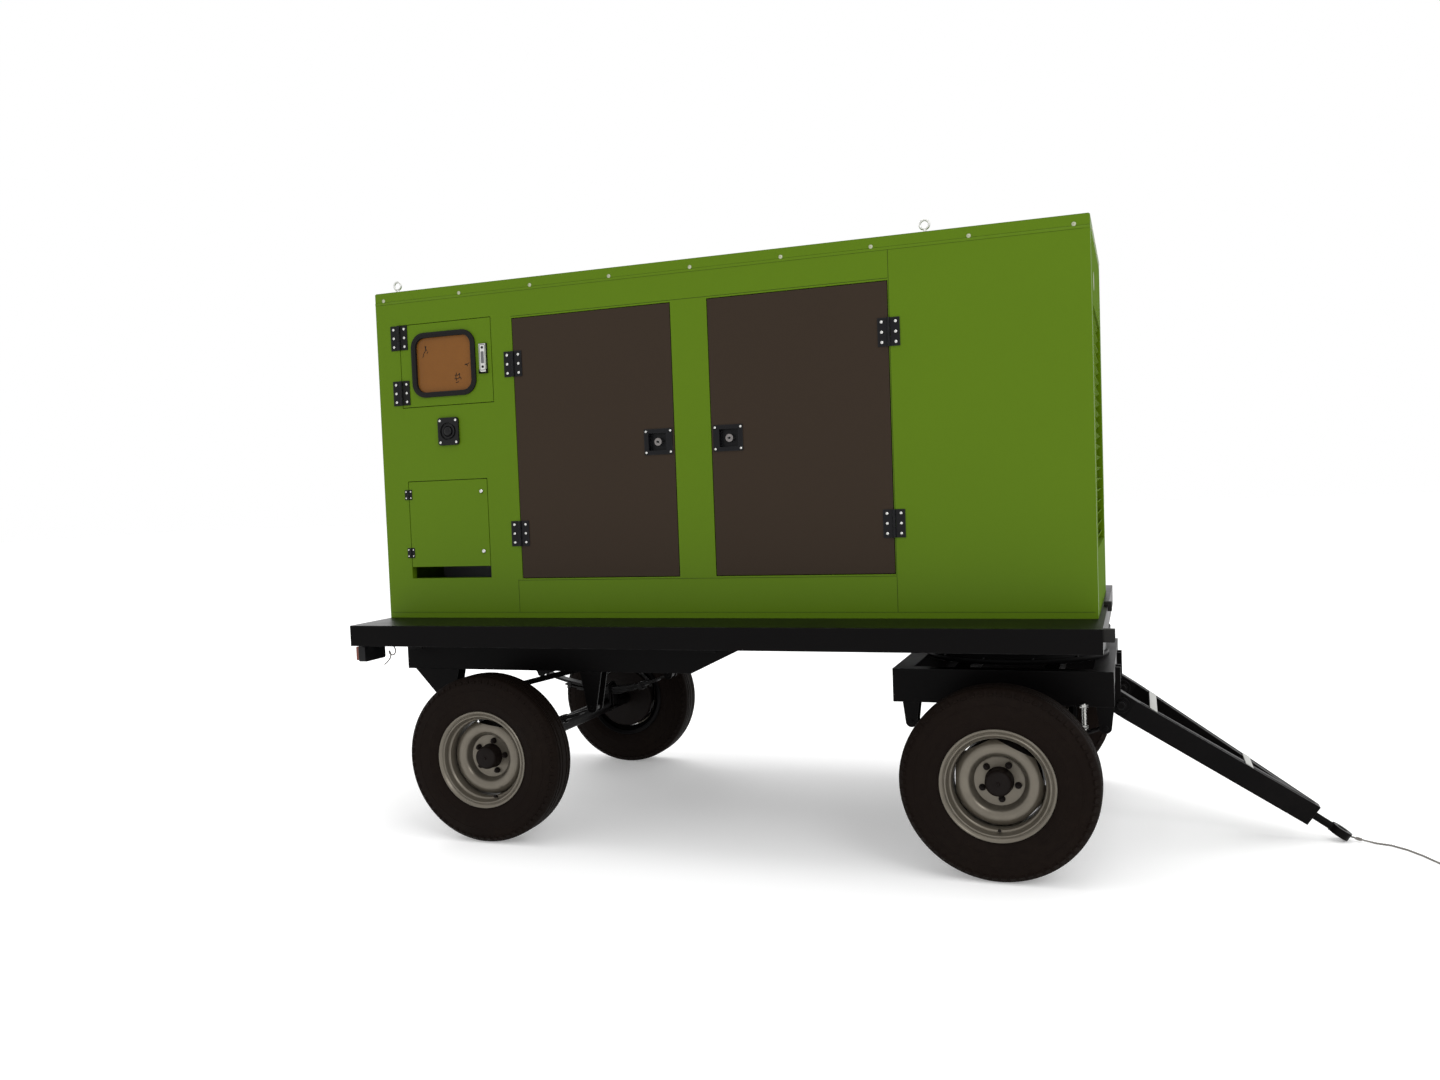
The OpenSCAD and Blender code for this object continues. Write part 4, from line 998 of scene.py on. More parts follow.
@dataclass
class AxleSprings:
    """The pair of leaf springs on one axle, split at the middle into fore and aft pieces."""

    end: str
    x: float
    eye_z: float
    frame_body: str
    half: float = 0.385
    camber: float = 0.08
    leaf: float = 0.008
    leaves: int = 5
    step: float = 0.185
    width: float = 0.06
    track: float = 1.0
    clip_x: float = 0.215
    bolt_x: float = 0.032
    bolt_y: float = 0.038

    def build(self) -> None:
        """Builds both halves of the springs and the clamps on the axle."""
        axle = f"{self.end}_axle"
        for sign, name in ((1, "fore"), (-1, "aft")):
            shaper = Shaper()
            for side in Side:
                self._half(shaper, sign, side.value * self.track / 2)
            made = shaper.piece(f"{self.end}_spring_{name}_half", SPRING_BLACK, "")
            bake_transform(made)
        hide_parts(f"{self.end}_leaf_springs")
        clamps = Shaper()
        for side in Side:
            self._clamp(clamps, side.value * self.track / 2)
        clamps.piece(f"{self.end}_spring_clamps", CHASSIS_BLACK, axle)

    def _curve(self, x: float, index: int) -> Vector:
        """Returns a point on a leaf's middle line, ahead of or behind the axle."""
        drop = self.camber * (1.0 - (x / self.half) ** 2) + index * self.leaf
        return along(self.x + x, 0.0, self.eye_z - drop)

    def _half(self, shaper: Shaper, sign: int, y: float) -> None:
        """Adds one half of a spring: its leaves, its rebound clip and its rolled eye."""
        for index in range(self.leaves):
            reach = self.half * (1.0 - self.step * index) - (0.012 if index == 0 else 0.0)
            line = [self._curve(sign * reach * i / 16, index) for i in range(17)]
            shaper.strip([(p.x, p.z + self.leaf / 2 - 0.0005) for p in line],
                         self.width - 0.004 * (index % 2), self.leaf - 0.0008, 0.001,
                         move(0, y, -0.0005))
        eye = along(self.x + sign * self.half, y, self.eye_z)
        shaper.lathe([(0.0095, -0.03), (0.0165, -0.03), (0.0172, -0.029), (0.0172, 0.029),
                      (0.0165, 0.03), (0.0095, 0.03)], 32, spot(eye, (0, 1, 0)), closed=True)
        slope = -math.atan(2 * self.camber * sign * self.clip_x / self.half ** 2)
        tilt = Matrix.Translation(self._curve(sign * self.clip_x, 2)) @ Matrix.Rotation(
            slope, 4, "Y")
        low, high = y - self.width / 2 - 0.004, y + self.width / 2 + 0.004
        for z in (-0.017, 0.02):
            shaper.block((-0.011, low, z), (0.011, high, z + 0.004), 0.001, tilt)
        for flank in (low, high - 0.0035):
            shaper.block((-0.011, flank, -0.017), (0.011, flank + 0.0035, 0.024), 0.001, tilt)

    def _clamp(self, shaper: Shaper, y: float) -> None:
        """Adds the clamp plates, two U bolts and their nuts at the middle of a spring."""
        top = self.eye_z - self.camber + self.leaf / 2
        under = self.eye_z - self.camber - self.leaf * (self.leaves - 0.5)
        middle = along(self.x, y, 0.0)
        for half_x, half_y, low, high in ((0.048, 0.031, top, top + 0.012),
                                          (0.06, 0.048, under - 0.08, under - 0.066)):
            shaper.block(middle + Vector((-half_x, -half_y, low)),
                         middle + Vector((half_x, half_y, high)), 0.003)
        for x in (-self.bolt_x, self.bolt_x):
            bend = [(-self.bolt_y, under - 0.09)]
            bend += [(-self.bolt_y * math.cos(a), top + 0.014 + 0.006 * math.sin(a))
                     for a in angles(12, math.pi, ends=True)]
            bend += [(self.bolt_y, under - 0.09)]
            shaper.tube([middle + Vector((x, dy, z)) for dy, z in bend], 0.0065, ring=3)
            for dy in (-self.bolt_y, self.bolt_y):
                shaper.hexagon(0.019, 0.01, Matrix.Translation(
                    middle + Vector((x, dy, under - 0.091))))


@dataclass
class Trailer:
    """Small steel parts on the deck, bogie and drawbar, and the tail lamps."""

    deck_z: float = 0.99
    deck_l: float = 3.303
    half_w: float = 0.942
    drop: float = math.radians(33.5)
    pivot: tuple[float, float] = (3.35, 0.59)
    front_axle: float = 2.91
    lamp_y: float = 0.7
    lamp_w: float = 0.17
    edge_depth: float = 0.096
    arm_y: float = 0.222
    arm_length: float = 0.884
    gusset_y: float = 0.56

    def bar_frame(self) -> Matrix:
        """Returns the drawbar's frame: X runs down the bar from its hinge."""
        return Matrix.Translation(along(self.pivot[0], 0.0, self.pivot[1])) @ Matrix.Rotation(
            self.drop, 4, "Y")

    def build(self) -> None:
        """Builds every small steel part."""
        self._straps()
        self._hinge_pins()
        self._deck_edges()
        self._turntable_bolts()
        self._hanger_rod()
        self._lamps()
        self._gussets()
        self._front_stops()

    def _front_stops(self) -> None:
        """Adds two small square buffers on the deck's front plate."""
        shaper = Shaper()
        shaper.block(along(self.deck_l - 0.001, -0.938, 0.9405),
                     along(self.deck_l + 0.042, -0.892, 0.9885), 0.003)
        shaper.block(along(self.deck_l - 0.016, -0.115, self.deck_z - 0.022),
                     along(self.deck_l + 0.016, -0.065, self.deck_z + 0.018), 0.003)
        shaper.piece("deck_front_buffers", RUBBER)

    def _straps(self) -> None:
        """Lays the two light cross straps on the drawbar, with their weld runs."""
        at = self.bar_frame()
        straps, welds = Shaper(), Shaper()
        for x in (0.12, 0.56):
            reach = self.arm_y + 0.022 - 0.218 * x / self.arm_length
            straps.block((x - 0.017, -reach, 0.0462), (x + 0.017, reach, 0.0492), 0.001, at)
            for side in Side:
                y = side.value * (reach - 0.03)
                points = [(x + 0.019 * math.cos(a), y + 0.01 * math.sin(a), 0.0463)
                          for a in angles(8, math.pi, ends=True)]
                welds.tube(points, 0.0026, at)
        straps.piece("drawbar_cross_straps", STRAP_GREY, "drawbar")
        for side in Side:
            runs = [0.06 + 0.8 * i / 40 for i in range(41)]
            welds.tube([(x, side.value * (0.242 - 0.236 * x / self.arm_length), 0.0462)
                        for x in runs], 0.0016, at)
        for x, radius in ((0.8845, 0.0185), (0.962, 0.0175)):
            ring = [(x, radius * math.cos(a), radius * math.sin(a))
                    for a in angles(24)]
            welds.tube(ring, 0.003, at, loop=True)
        welds.piece("drawbar_weld_runs", CHASSIS_BLACK, "drawbar")

    def _hinge_pins(self) -> None:
        """Adds washers and nuts to the drawbar's hinge."""
        shaper = Shaper()
        for side in Side:
            for sign in (1, -1):
                y = side.value * self.arm_y + sign * 0.0495
                at = spot(along(self.pivot[0], y, self.pivot[1]), (0, sign, 0))
                shaper.rod(0.022, 0.003, at, 28, 0.0006)
                shaper.hexagon(0.03, 0.014, at)
        shaper.piece("drawbar_hinge_nuts", CHASSIS_BLACK, "bogie")

    def _deck_edges(self) -> None:
        """Adds weld stitches along the deck's edge channel."""
        shaper = Shaper()
        for side in Side:
            y, z = side.value * (self.half_w - 0.0075), self.deck_z - 0.0075
            line = [along(0.01 + (self.deck_l - 0.02) * i / 30, y, z) for i in range(31)]
            for i in range(0, 30, 3):
                shaper.tube([line[i], line[i + 1]], 0.0022, ring=1)
        shaper.piece("deck_edge_stitches", CHASSIS_BLACK)

    def _turntable_bolts(self) -> None:
        """Adds the bolts that hold both turntable rings."""
        upper, lower = Shaper(), Shaper()
        for i in range(12):
            angle = math.radians(15 + 30 * i)
            x, y = 0.345 * math.cos(angle), 0.345 * math.sin(angle)
            upper.hexagon(0.017, 0.008, spot(along(self.front_axle + x, y, 0.8335), (0, 0, -1)))
            x, y = 0.386 * math.cos(angle), 0.386 * math.sin(angle)
            lower.hexagon(0.008, 0.006,
                          Matrix.Translation(along(self.front_axle + x, y, 0.792)))
        for i in range(24):
            angle = math.radians(15 * i)
            at = spot(along(self.front_axle + 0.3925 * math.cos(angle), 0.3925 * math.sin(angle),
                            0.884), (math.cos(angle), math.sin(angle), 0))
            upper.rod(0.006, 0.0055, at, 12, 0.001)
        upper.piece("turntable_upper_bolts", SPRING_BLACK)
        lower.piece("turntable_lower_bolts", SPRING_BLACK, "bogie")

    def _hanger_rod(self) -> None:
        """Adds the bright threaded adjuster beside each front spring hanger."""
        shaper = Shaper()
        for side in Side:
            foot = along(3.216, side.value * 0.556, 0.538)
            shaper.rod(0.0085, 0.106, Matrix.Translation(foot), 20, 0.002)
            for i in range(15):
                shaper.lathe([(0.0083, -0.0018), (0.0104, 0.0), (0.0083, 0.0018)], 16,
                             Matrix.Translation(foot + Vector((0, 0, 0.01 + 0.0056 * i))))
            for z in (0.006, 0.09):
                shaper.hexagon(0.028, 0.014, Matrix.Translation(foot + Vector((0, 0, z))))
        shaper.piece("front_hanger_adjusters", PLATED, "bogie")

    def _lamps(self) -> None:
        """Builds the tail lamps: housing, ribbed red and amber lenses, screws and loose leads."""
        housing, red, amber, screws = Shaper(), Shaper(), Shaper(), Shaper()
        top = self.deck_z - self.edge_depth - 0.008
        for side in Side:
            middle = side.value * (self.lamp_y + self.lamp_w / 2)
            centre = along(-0.0095, middle, top - 0.039)
            face = (Matrix.Translation(centre) @ Matrix.Rotation(-math.pi / 2, 4, "Z")
                    @ Matrix.Rotation(math.pi / 2, 4, "X"))
            housing.plate(self.lamp_w - 0.002, 0.076, -0.035, 0.01, 0.0, face)
            housing.plate(self.lamp_w - 0.002, 0.076, 0.002, 0.01, 0.001, face)
            housing.block(along(-0.019, middle - 0.064, top),
                          along(0.089, middle + 0.064, top + 0.0075), 0.001)
            for lens, width, offset in ((red, 0.1, -0.029), (amber, 0.052, 0.05)):
                local = face @ move(-side.value * offset, 0.0, 0.002)
                lens.plate(width, 0.066, 0.02, 0.006, 0.004, local)
                for i in range(int(width / 0.008) - 1):
                    x = -width / 2 + 0.008 * (i + 1)
                    lens.block((x - 0.0018, -0.027, 0.0195), (x + 0.0018, 0.027, 0.0213), 0.0008,
                               local, segments=1)
            for x in (-0.078, 0.078):
                screws.screw(0.0035, face @ move(x, 0.0, 0.002))
        housing.piece("tail_lamp_housings", PLASTIC_BLACK, "chassis", ["tail_lights"])
        red.piece("tail_lamp_red_lenses", LENS_RED)
        amber.piece("tail_lamp_amber_lenses", LENS_AMBER)
        screws.piece("tail_lamp_screws", PLATED)
        for side in Side:
            start = along(0.0865, side.value * 0.735, 0.875)
            route = [(0.0, 0.0, 0.0), (0.012, 0.004, -0.014), (0.016, 0.006, -0.034),
                     (0.004, 0.004, -0.05), (-0.012, 0.0, -0.046), (-0.014, -0.004, -0.03),
                     (-0.006, -0.004, -0.044), (-0.012, 0.0, -0.064), (-0.028, 0.002, -0.082),
                     (-0.048, 0.002, -0.098)]
            fall = smooth([start + Vector(step) for step in route], 5)
            lead = Shaper().tube(fall, 0.003, ring=2).piece(
                f"tail_lamp_lead_{side.name.lower()}", ROPE_GREY, "chassis", sharp=1.2)
            ring = Shaper().lathe([(0.003, -0.002), (0.006, -0.002), (0.006, 0.0015),
                                   (0.003, 0.0015)], 16, spot(start, (1, 0, 0)), closed=True)
            ring.piece(f"tail_lamp_grommet_{side.name.lower()}", SEAL_BLACK)

    def _gussets(self) -> None:
        """Adds gusset plates under the deck's rear corners."""
        shaper = Shaper()
        for side, x in product(Side, (0.075, 1.6)):
            y = side.value * self.gusset_y
            shaper.block(along(x, y - 0.004, 0.83), along(x + 0.07, y + 0.004, 0.894), 0.0015)
        shaper.piece("deck_gussets", CHASSIS_BLACK)


@dataclass
class Canopy:
    """Fine parts on the canopy shell: seams, roof screws, lifting eyes and roof lip."""

    length: float = 3.28
    half_w: float = 0.6
    deck_z: float = 0.99
    roof_z: float = 2.528
    top_z: float = 2.57
    roof_screws: tuple[float, ...] = (0.048, 0.468, 0.844, 1.243, 1.63, 2.041, 2.426, 2.821, 3.22)
    screw_z: float = 2.535
    lift_x: tuple[float, float] = (0.106, 2.641)
    lift_y: float = 0.56

    def build(self) -> None:
        """Builds every fine part of the shell."""
        self._seams()
        self._screws()
        self._lifting_eyes()
        self._roof_lip()

    def _seams(self) -> None:
        """Draws the sheet joints as narrow sunk-looking strips."""
        shaper = Shaper()
        for side in Side:
            runs = [(2.494, 1.017, 2.494, 2.5155), (0.718, 1.017, 0.718, 1.17),
                    (0.022, 2.516, 3.258, 2.516), (0.718, 1.168, 2.494, 1.168),
                    (0.738, 2.4005, 2.49, 2.4005), (0.012, 1.0165, 3.268, 1.0165)]
            for x0, z0, x1, z1 in runs:
                at = wall_frame((x0 + x1) / 2, (z0 + z1) / 2, side)
                shaper.plate(abs(x1 - x0) + 0.0016, abs(z1 - z0) + 0.0016, 0.0004, at=at)
        shaper.piece("canopy_sheet_seams", SEAM_DARK)

    def _screws(self) -> None:
        """Adds the bright screws along the roof's lower edge, on both sides and across both ends.
        """
        shaper = Shaper()
        places = [wall_frame(x, self.screw_z, side) for side in Side for x in self.roof_screws]
        places += [spot(along(x, -0.45 + 0.3 * i, self.screw_z), (way, 0, 0))
                   for x, way in ((0.0, -1), (self.length, 1)) for i in range(4)]
        for at in places:
            shaper.rod(0.0085, 0.0012, at, 20, 0.0003).screw(0.0062, at @ move(0, 0, 0.0012))
        shaper.piece("canopy_roof_screws", SCREW_DULL)

    def _lifting_eyes(self) -> None:
        """Builds four forged eye bolts with collars."""
        shaper = Shaper()
        for x in self.lift_x:
            for side in Side:
                base = along(x, side.value * self.lift_y, self.top_z)
                at = Matrix.Translation(base)
                shaper.lathe([(0.0, 0.0), (0.0165, 0.0), (0.017, 0.001), (0.017, 0.0055),
                              (0.015, 0.007), (0.0105, 0.0085), (0.008, 0.013), (0.0078, 0.016),
                              (0.0, 0.017)], 32, at)
                ring = [(0.019 + 0.005 * math.cos(a), 0.0055 * math.sin(a))
                        for a in angles(14)]
                shaper.lathe(ring, 40, spot(base + Vector((0, 0, 0.0378)), (0, 1, 0)), closed=True)
        shaper.piece("lifting_eye_bolts", PLATED, "chassis", ["lifting_eyes"])

    def _roof_lip(self) -> None:
        """Adds the folded drip lip and the raised edge on the roof lid."""
        shaper = Shaper()
        for side in Side:
            y = side.value * self.half_w
            low, high = sorted((y, y + side.value * 0.0012))
            shaper.block(along(0.0, low, self.roof_z - 0.012),
                         along(self.length, high, self.roof_z - 0.0006), 0.0005)
            low, high = sorted((side.value * (self.half_w - 0.012), y - side.value * 0.002))
            shaper.block(along(0.004, low, self.top_z),
                         along(self.length - 0.004, high, self.top_z + 0.003), 0.0012)
        shaper.piece("canopy_roof_lip", CANOPY_GREEN)


@dataclass(frozen=True)
class HingeScrews:
    """The screws of one size of hinge: a column on each leaf."""

    radius: float
    offset: float
    pitch: float
    rows: int
    out: float

    def add(self, moving: Shaper, fixed: Shaper, hinge: Matrix) -> None:
        """Adds both columns to one hinge.

        Args:
            moving: The mesh that takes the screws of the leaf on the door.
            fixed: The mesh that takes the screws of the other leaf.
            hinge: The hinge's frame: X from its axis, Y up, Z outward.
        """
        for shaper, offset in ((moving, self.offset), (fixed, -self.offset)):
            for row in range(self.rows):
                rise = self.pitch * (row - (self.rows - 1) / 2)
                shaper.screw(self.radius, hinge @ move(offset, rise, self.out))


LARGE_HINGE = HingeScrews(0.0062, 0.029, 0.042, 3, 0.004)
SMALL_HINGE = HingeScrews(0.0038, 0.013, 0.03, 2, 0.0025)


@dataclass
class ServiceDoor:
    """One large service door: foam lining, gasket, hinge screws, latch cup and key cylinder."""

    front: bool
    side: Side
    rear_x: float = 0.74
    front_x: float = 1.7
    width: float = 0.79
    height: float = 1.216
    low_z: float = 1.176
    hinge_dz: float = 0.212
    cup_u: float = 0.708
    cup_z: float = 0.605

    def name(self) -> str:
        """Returns the door's name in the frame."""
        return f"{self.side.name.lower()}_{'front' if self.front else 'rear'}"

    def frame(self) -> Matrix:
        """Returns the door's frame: X from the hinge to the free edge, Y up, Z outward."""
        base = wall_frame(self.front_x + self.width if self.front else self.rear_x, self.low_z,
                          self.side)
        opens_forward = self.front == (self.side is Side.RIGHT)
        return base @ Matrix.Scale(-1.0, 4, (1, 0, 0)) if opens_forward else base

    def build(self) -> None:
        """Builds the door's fine parts on the bodies that carry them."""
        at = self.frame()
        self._lining(at)
        self._screws(at)
        self._cylinder(at)

    def _lining(self, at: Matrix) -> None:
        """Adds the foam round the latch cup and the gasket at the door's edge."""
        lining, gasket = Shaper(), Shaper()
        w, h, gap, inset = self.width, self.height, 0.012, 0.009
        cup_lo, cup_hi = self.cup_u - 0.055, self.cup_u + 0.055
        z_lo, z_hi = self.cup_z - 0.05, self.cup_z + 0.05
        for low, high in (((gap, gap), (cup_lo, h - gap)), ((cup_lo, gap), (w - gap, z_lo)),
                          ((cup_lo, z_hi), (w - gap, h - gap)), ((cup_hi, z_lo), (w - gap, z_hi))):
            lining.block((*low, -0.033), (*high, -0.0035), 0.0015, at, segments=1)
        lining.piece(f"lining_{self.name()}", FOAM_DARK, f"door_{self.name()}")
        ring = [(inset, inset), (w - inset, inset), (w - inset, h - inset), (inset, h - inset)]
        gasket.tube([(x, y, -0.0375) for x, y in ring], 0.0032, at, loop=True)
        gasket.piece(f"gasket_{self.name()}", SEAL_BLACK, f"door_{self.name()}")

    def _screws(self, at: Matrix) -> None:
        """Adds the screws of both hinges and of the latch cup."""
        moving, fixed = Shaper(), Shaper()
        for z in (self.hinge_dz, self.height - self.hinge_dz):
            LARGE_HINGE.add(moving, fixed, at @ move(0.0, z, 0.0))
        for v, u in product((-0.047, 0.047), (-0.0545, 0.0625)):
            moving.screw(0.0052, at @ move(self.cup_u + u, self.cup_z + v, 0.004))
        moving.piece(f"screws_{self.name()}", PLATED, f"door_{self.name()}")
        fixed.piece(f"frame_screws_{self.name()}", PLATED)

    def _cylinder(self, at: Matrix) -> None:
        """Adds the bright ring and keyway of the latch."""
        shaper = Shaper()
        face = at @ move(self.cup_u, self.cup_z, -0.004)
        shaper.lathe([(0.007, 0.0002), (0.0075, 0.0022), (0.012, 0.0026), (0.017, 0.0012),
                      (0.0172, -0.002), (0.0136, -0.002), (0.0136, 0.0002)], 40, face,
                     closed=True)
        for angle in range(4):
            turn = face @ Matrix.Rotation(math.pi / 4 + angle * math.pi / 2, 4, "Z")
            shaper.block((0.0075, -0.0012, 0.0018), (0.0128, 0.0012, 0.0034), 0.0004, turn,
                         segments=1)
        shaper.piece(f"key_ring_{self.name()}", ZINC_GREY, f"latch_{self.name()}")
        key = Shaper()
        key.rod(0.0062, 0.0012, face, 24, 0.0003)
        key.block((-0.001, -0.0045, 0.0011), (0.001, 0.0045, 0.0018), 0.0002, face, segments=1)
        key.piece(f"keyway_{self.name()}", PLASTIC_BLACK, f"latch_{self.name()}")


@dataclass
class ControlDoor:
    """The control door's window, rubber seal, hinge screws and lever latch."""

    x: float = 0.127
    z: float = 2.01
    window: tuple[float, float, float, float] = (0.091, 0.068, 0.301, 0.261)
    corner: float = 0.046
    lip: float = 0.024
    latch: tuple[float, float, float, float] = (0.44, 0.14, 0.036, 0.136)

    def build(self) -> None:
        """Builds the door's fine parts."""
        at = wall_frame(self.x, self.z, Side.RIGHT)
        u, v, w, h = self.window
        middle = at @ move(u + w / 2, v + h / 2, 0.0)
        seal = Shaper()
        seal.lip(w + 2 * self.lip - 0.002, h + 2 * self.lip - 0.002, self.corner + self.lip,
                 ((0.0008, 0.0045), (0.0018, 0.0035), (0.003, 0.0018), (0.004, 0.0004),
                  (0.0024, -0.0018), (0.001, -0.0016), (0.0022, 0.0014), (0.0032, 0.0006),
                  (0.0026, -0.002), (0.0016, -0.004), (0.001, -0.006)), 0.0015,
                 middle @ move(0, 0, 0.0004))
        seal.piece("control_window_seal", SEAL_BLACK, "control_door")
        self._marks(middle)
        screws, fixed = Shaper(), Shaper()
        for z in (0.073, 0.339):
            LARGE_HINGE.add(screws, fixed, at @ move(0.0, z, 0.0))
        screws.piece("control_door_screws", PLATED, "control_door")
        fixed.piece("control_door_frame_screws", PLATED)
        self._lever(at)
        lining = Shaper().block((0.01, 0.01, -0.026), (u - 0.016, 0.39, -0.004), 0.001, at)
        lining.block((u + w + 0.016, 0.01, -0.026), (0.43, 0.39, -0.004), 0.001, at)
        lining.piece("lining_control_door", FOAM_DARK, "control_door")

    def _marks(self, middle: Matrix) -> None:
        """Adds the few dark scuffs on the pane's protective film."""
        shaper = Shaper()
        scuffs = (((-0.116, 0.052), (-0.098, 0.092)), ((-0.104, 0.094), (-0.094, 0.07)),
                  ((-0.12, 0.04), (-0.112, 0.05)), ((-0.088, 0.066), (-0.094, 0.056)),
                  ((0.11, -0.012), (0.134, -0.004)), ((0.124, -0.02), (0.116, -0.006)),
                  ((0.054, -0.058), (0.082, -0.052)), ((0.064, -0.046), (0.062, -0.084)),
                  ((0.078, -0.05), (0.088, -0.078)), ((0.052, -0.074), (0.08, -0.07)),
                  ((0.058, -0.092), (0.074, -0.088)))
        for (x0, y0), (x1, y1) in scuffs:
            mid = ((x0 + x1) / 2, (y0 + y1) / 2)
            bow = (mid[0] + 0.12 * (y1 - y0), mid[1] - 0.12 * (x1 - x0))
            shaper.tube([(x, y, -0.0062) for x, y in ((x0, y0), bow, (x1, y1))], 0.0018, middle,
                        ring=1)
        shaper.piece("control_window_scuffs", PLASTIC_BLACK, "control_door")

    def _lever(self, at: Matrix) -> None:
        """Adds the lever's raised face, outline and two dark rivets."""
        u, v, w, h = self.latch
        face = at @ Matrix.Translation((u + w / 2, v + 0.008 + (h - 0.008) / 2, 0.0122))
        Shaper().lip(w - 0.0056, h - 0.014, 0.006,
                     ((0.0006, 0.0008), (0.0014, 0.0002), (0.0006, -0.0008)), 0.0004,
                     face).piece("control_lever_frame", PLASTIC_BLACK, "control_latch")
        rivets = Shaper()
        for z in (-0.044, 0.046):
            rivets.rod(0.0062, 0.0014, face @ move(0, z, 0), 24, 0.0005)
        Shaper().plate(0.015, 0.056, 0.0012, 0.004, at=face).piece(
            "control_lever_badge", CABINET, "control_latch")
        rivets.piece("control_lever_rivets", PLASTIC_BLACK, "control_latch")


@dataclass
class SmallFittings:
    """The outlet door's small hinges and quarter turns, and the stop button."""

    outlet: tuple[float, float] = (0.136, 1.235)
    stop: tuple[float, float] = (0.38, 1.886)

    def build(self) -> None:
        """Builds the small fittings."""
        at = wall_frame(*self.outlet, Side.RIGHT)
        moving, fixed = Shaper(), Shaper()
        for z in (0.072, 0.355):
            SMALL_HINGE.add(moving, fixed, at @ move(0.0, z, 0.0))
        fixed.piece("outlet_door_frame_screws", PLATED)
        for z in (0.074, 0.359):
            turn = at @ move(0.404, z, 0.004)
            moving.lathe([(0.0, 0.0005), (0.003, 0.0005), (0.0034, 0.0022), (0.0072, 0.002),
                          (0.0092, 0.0), (0.0, 0.0)], 28, turn)
        moving.piece("outlet_door_screws", PLATED, "outlet_door")
        Shaper().block((0.012, 0.012, -0.026), (0.426, 0.408, -0.004), 0.001, at).piece(
            "lining_outlet_door", FOAM_DARK, "outlet_door")
        panel = wall_frame(*self.stop, Side.RIGHT)
        screws = Shaper()
        for x, y in product((-0.043, 0.043), (-0.052, 0.052)):
            screws.screw(0.0062, panel @ move(x, y, 0.012))
        screws.piece("stop_surround_screws", PLATED)
        dome = Shaper().lathe(
            [(0.0, 0.023), (0.006, 0.0228), (0.012, 0.0218), (0.0175, 0.0198), (0.0208, 0.0168),
             (0.0218, 0.014), (0.0214, 0.0118), (0.0195, 0.0108), (0.0098, 0.0104),
             (0.0098, -0.027), (0.0, -0.027)], 48, panel)
        dome.piece("stop_button_dome", PLASTIC_BLACK, "stop_button", ["stop_button"])
        collar = Shaper().lathe([(0.0245, 0.003), (0.0245, 0.011), (0.0265, 0.0125),
                                 (0.033, 0.0125), (0.0345, 0.011), (0.0345, 0.003)], 48, panel,
                                closed=True)
        collar.piece("stop_button_collar", PLASTIC_BLACK)


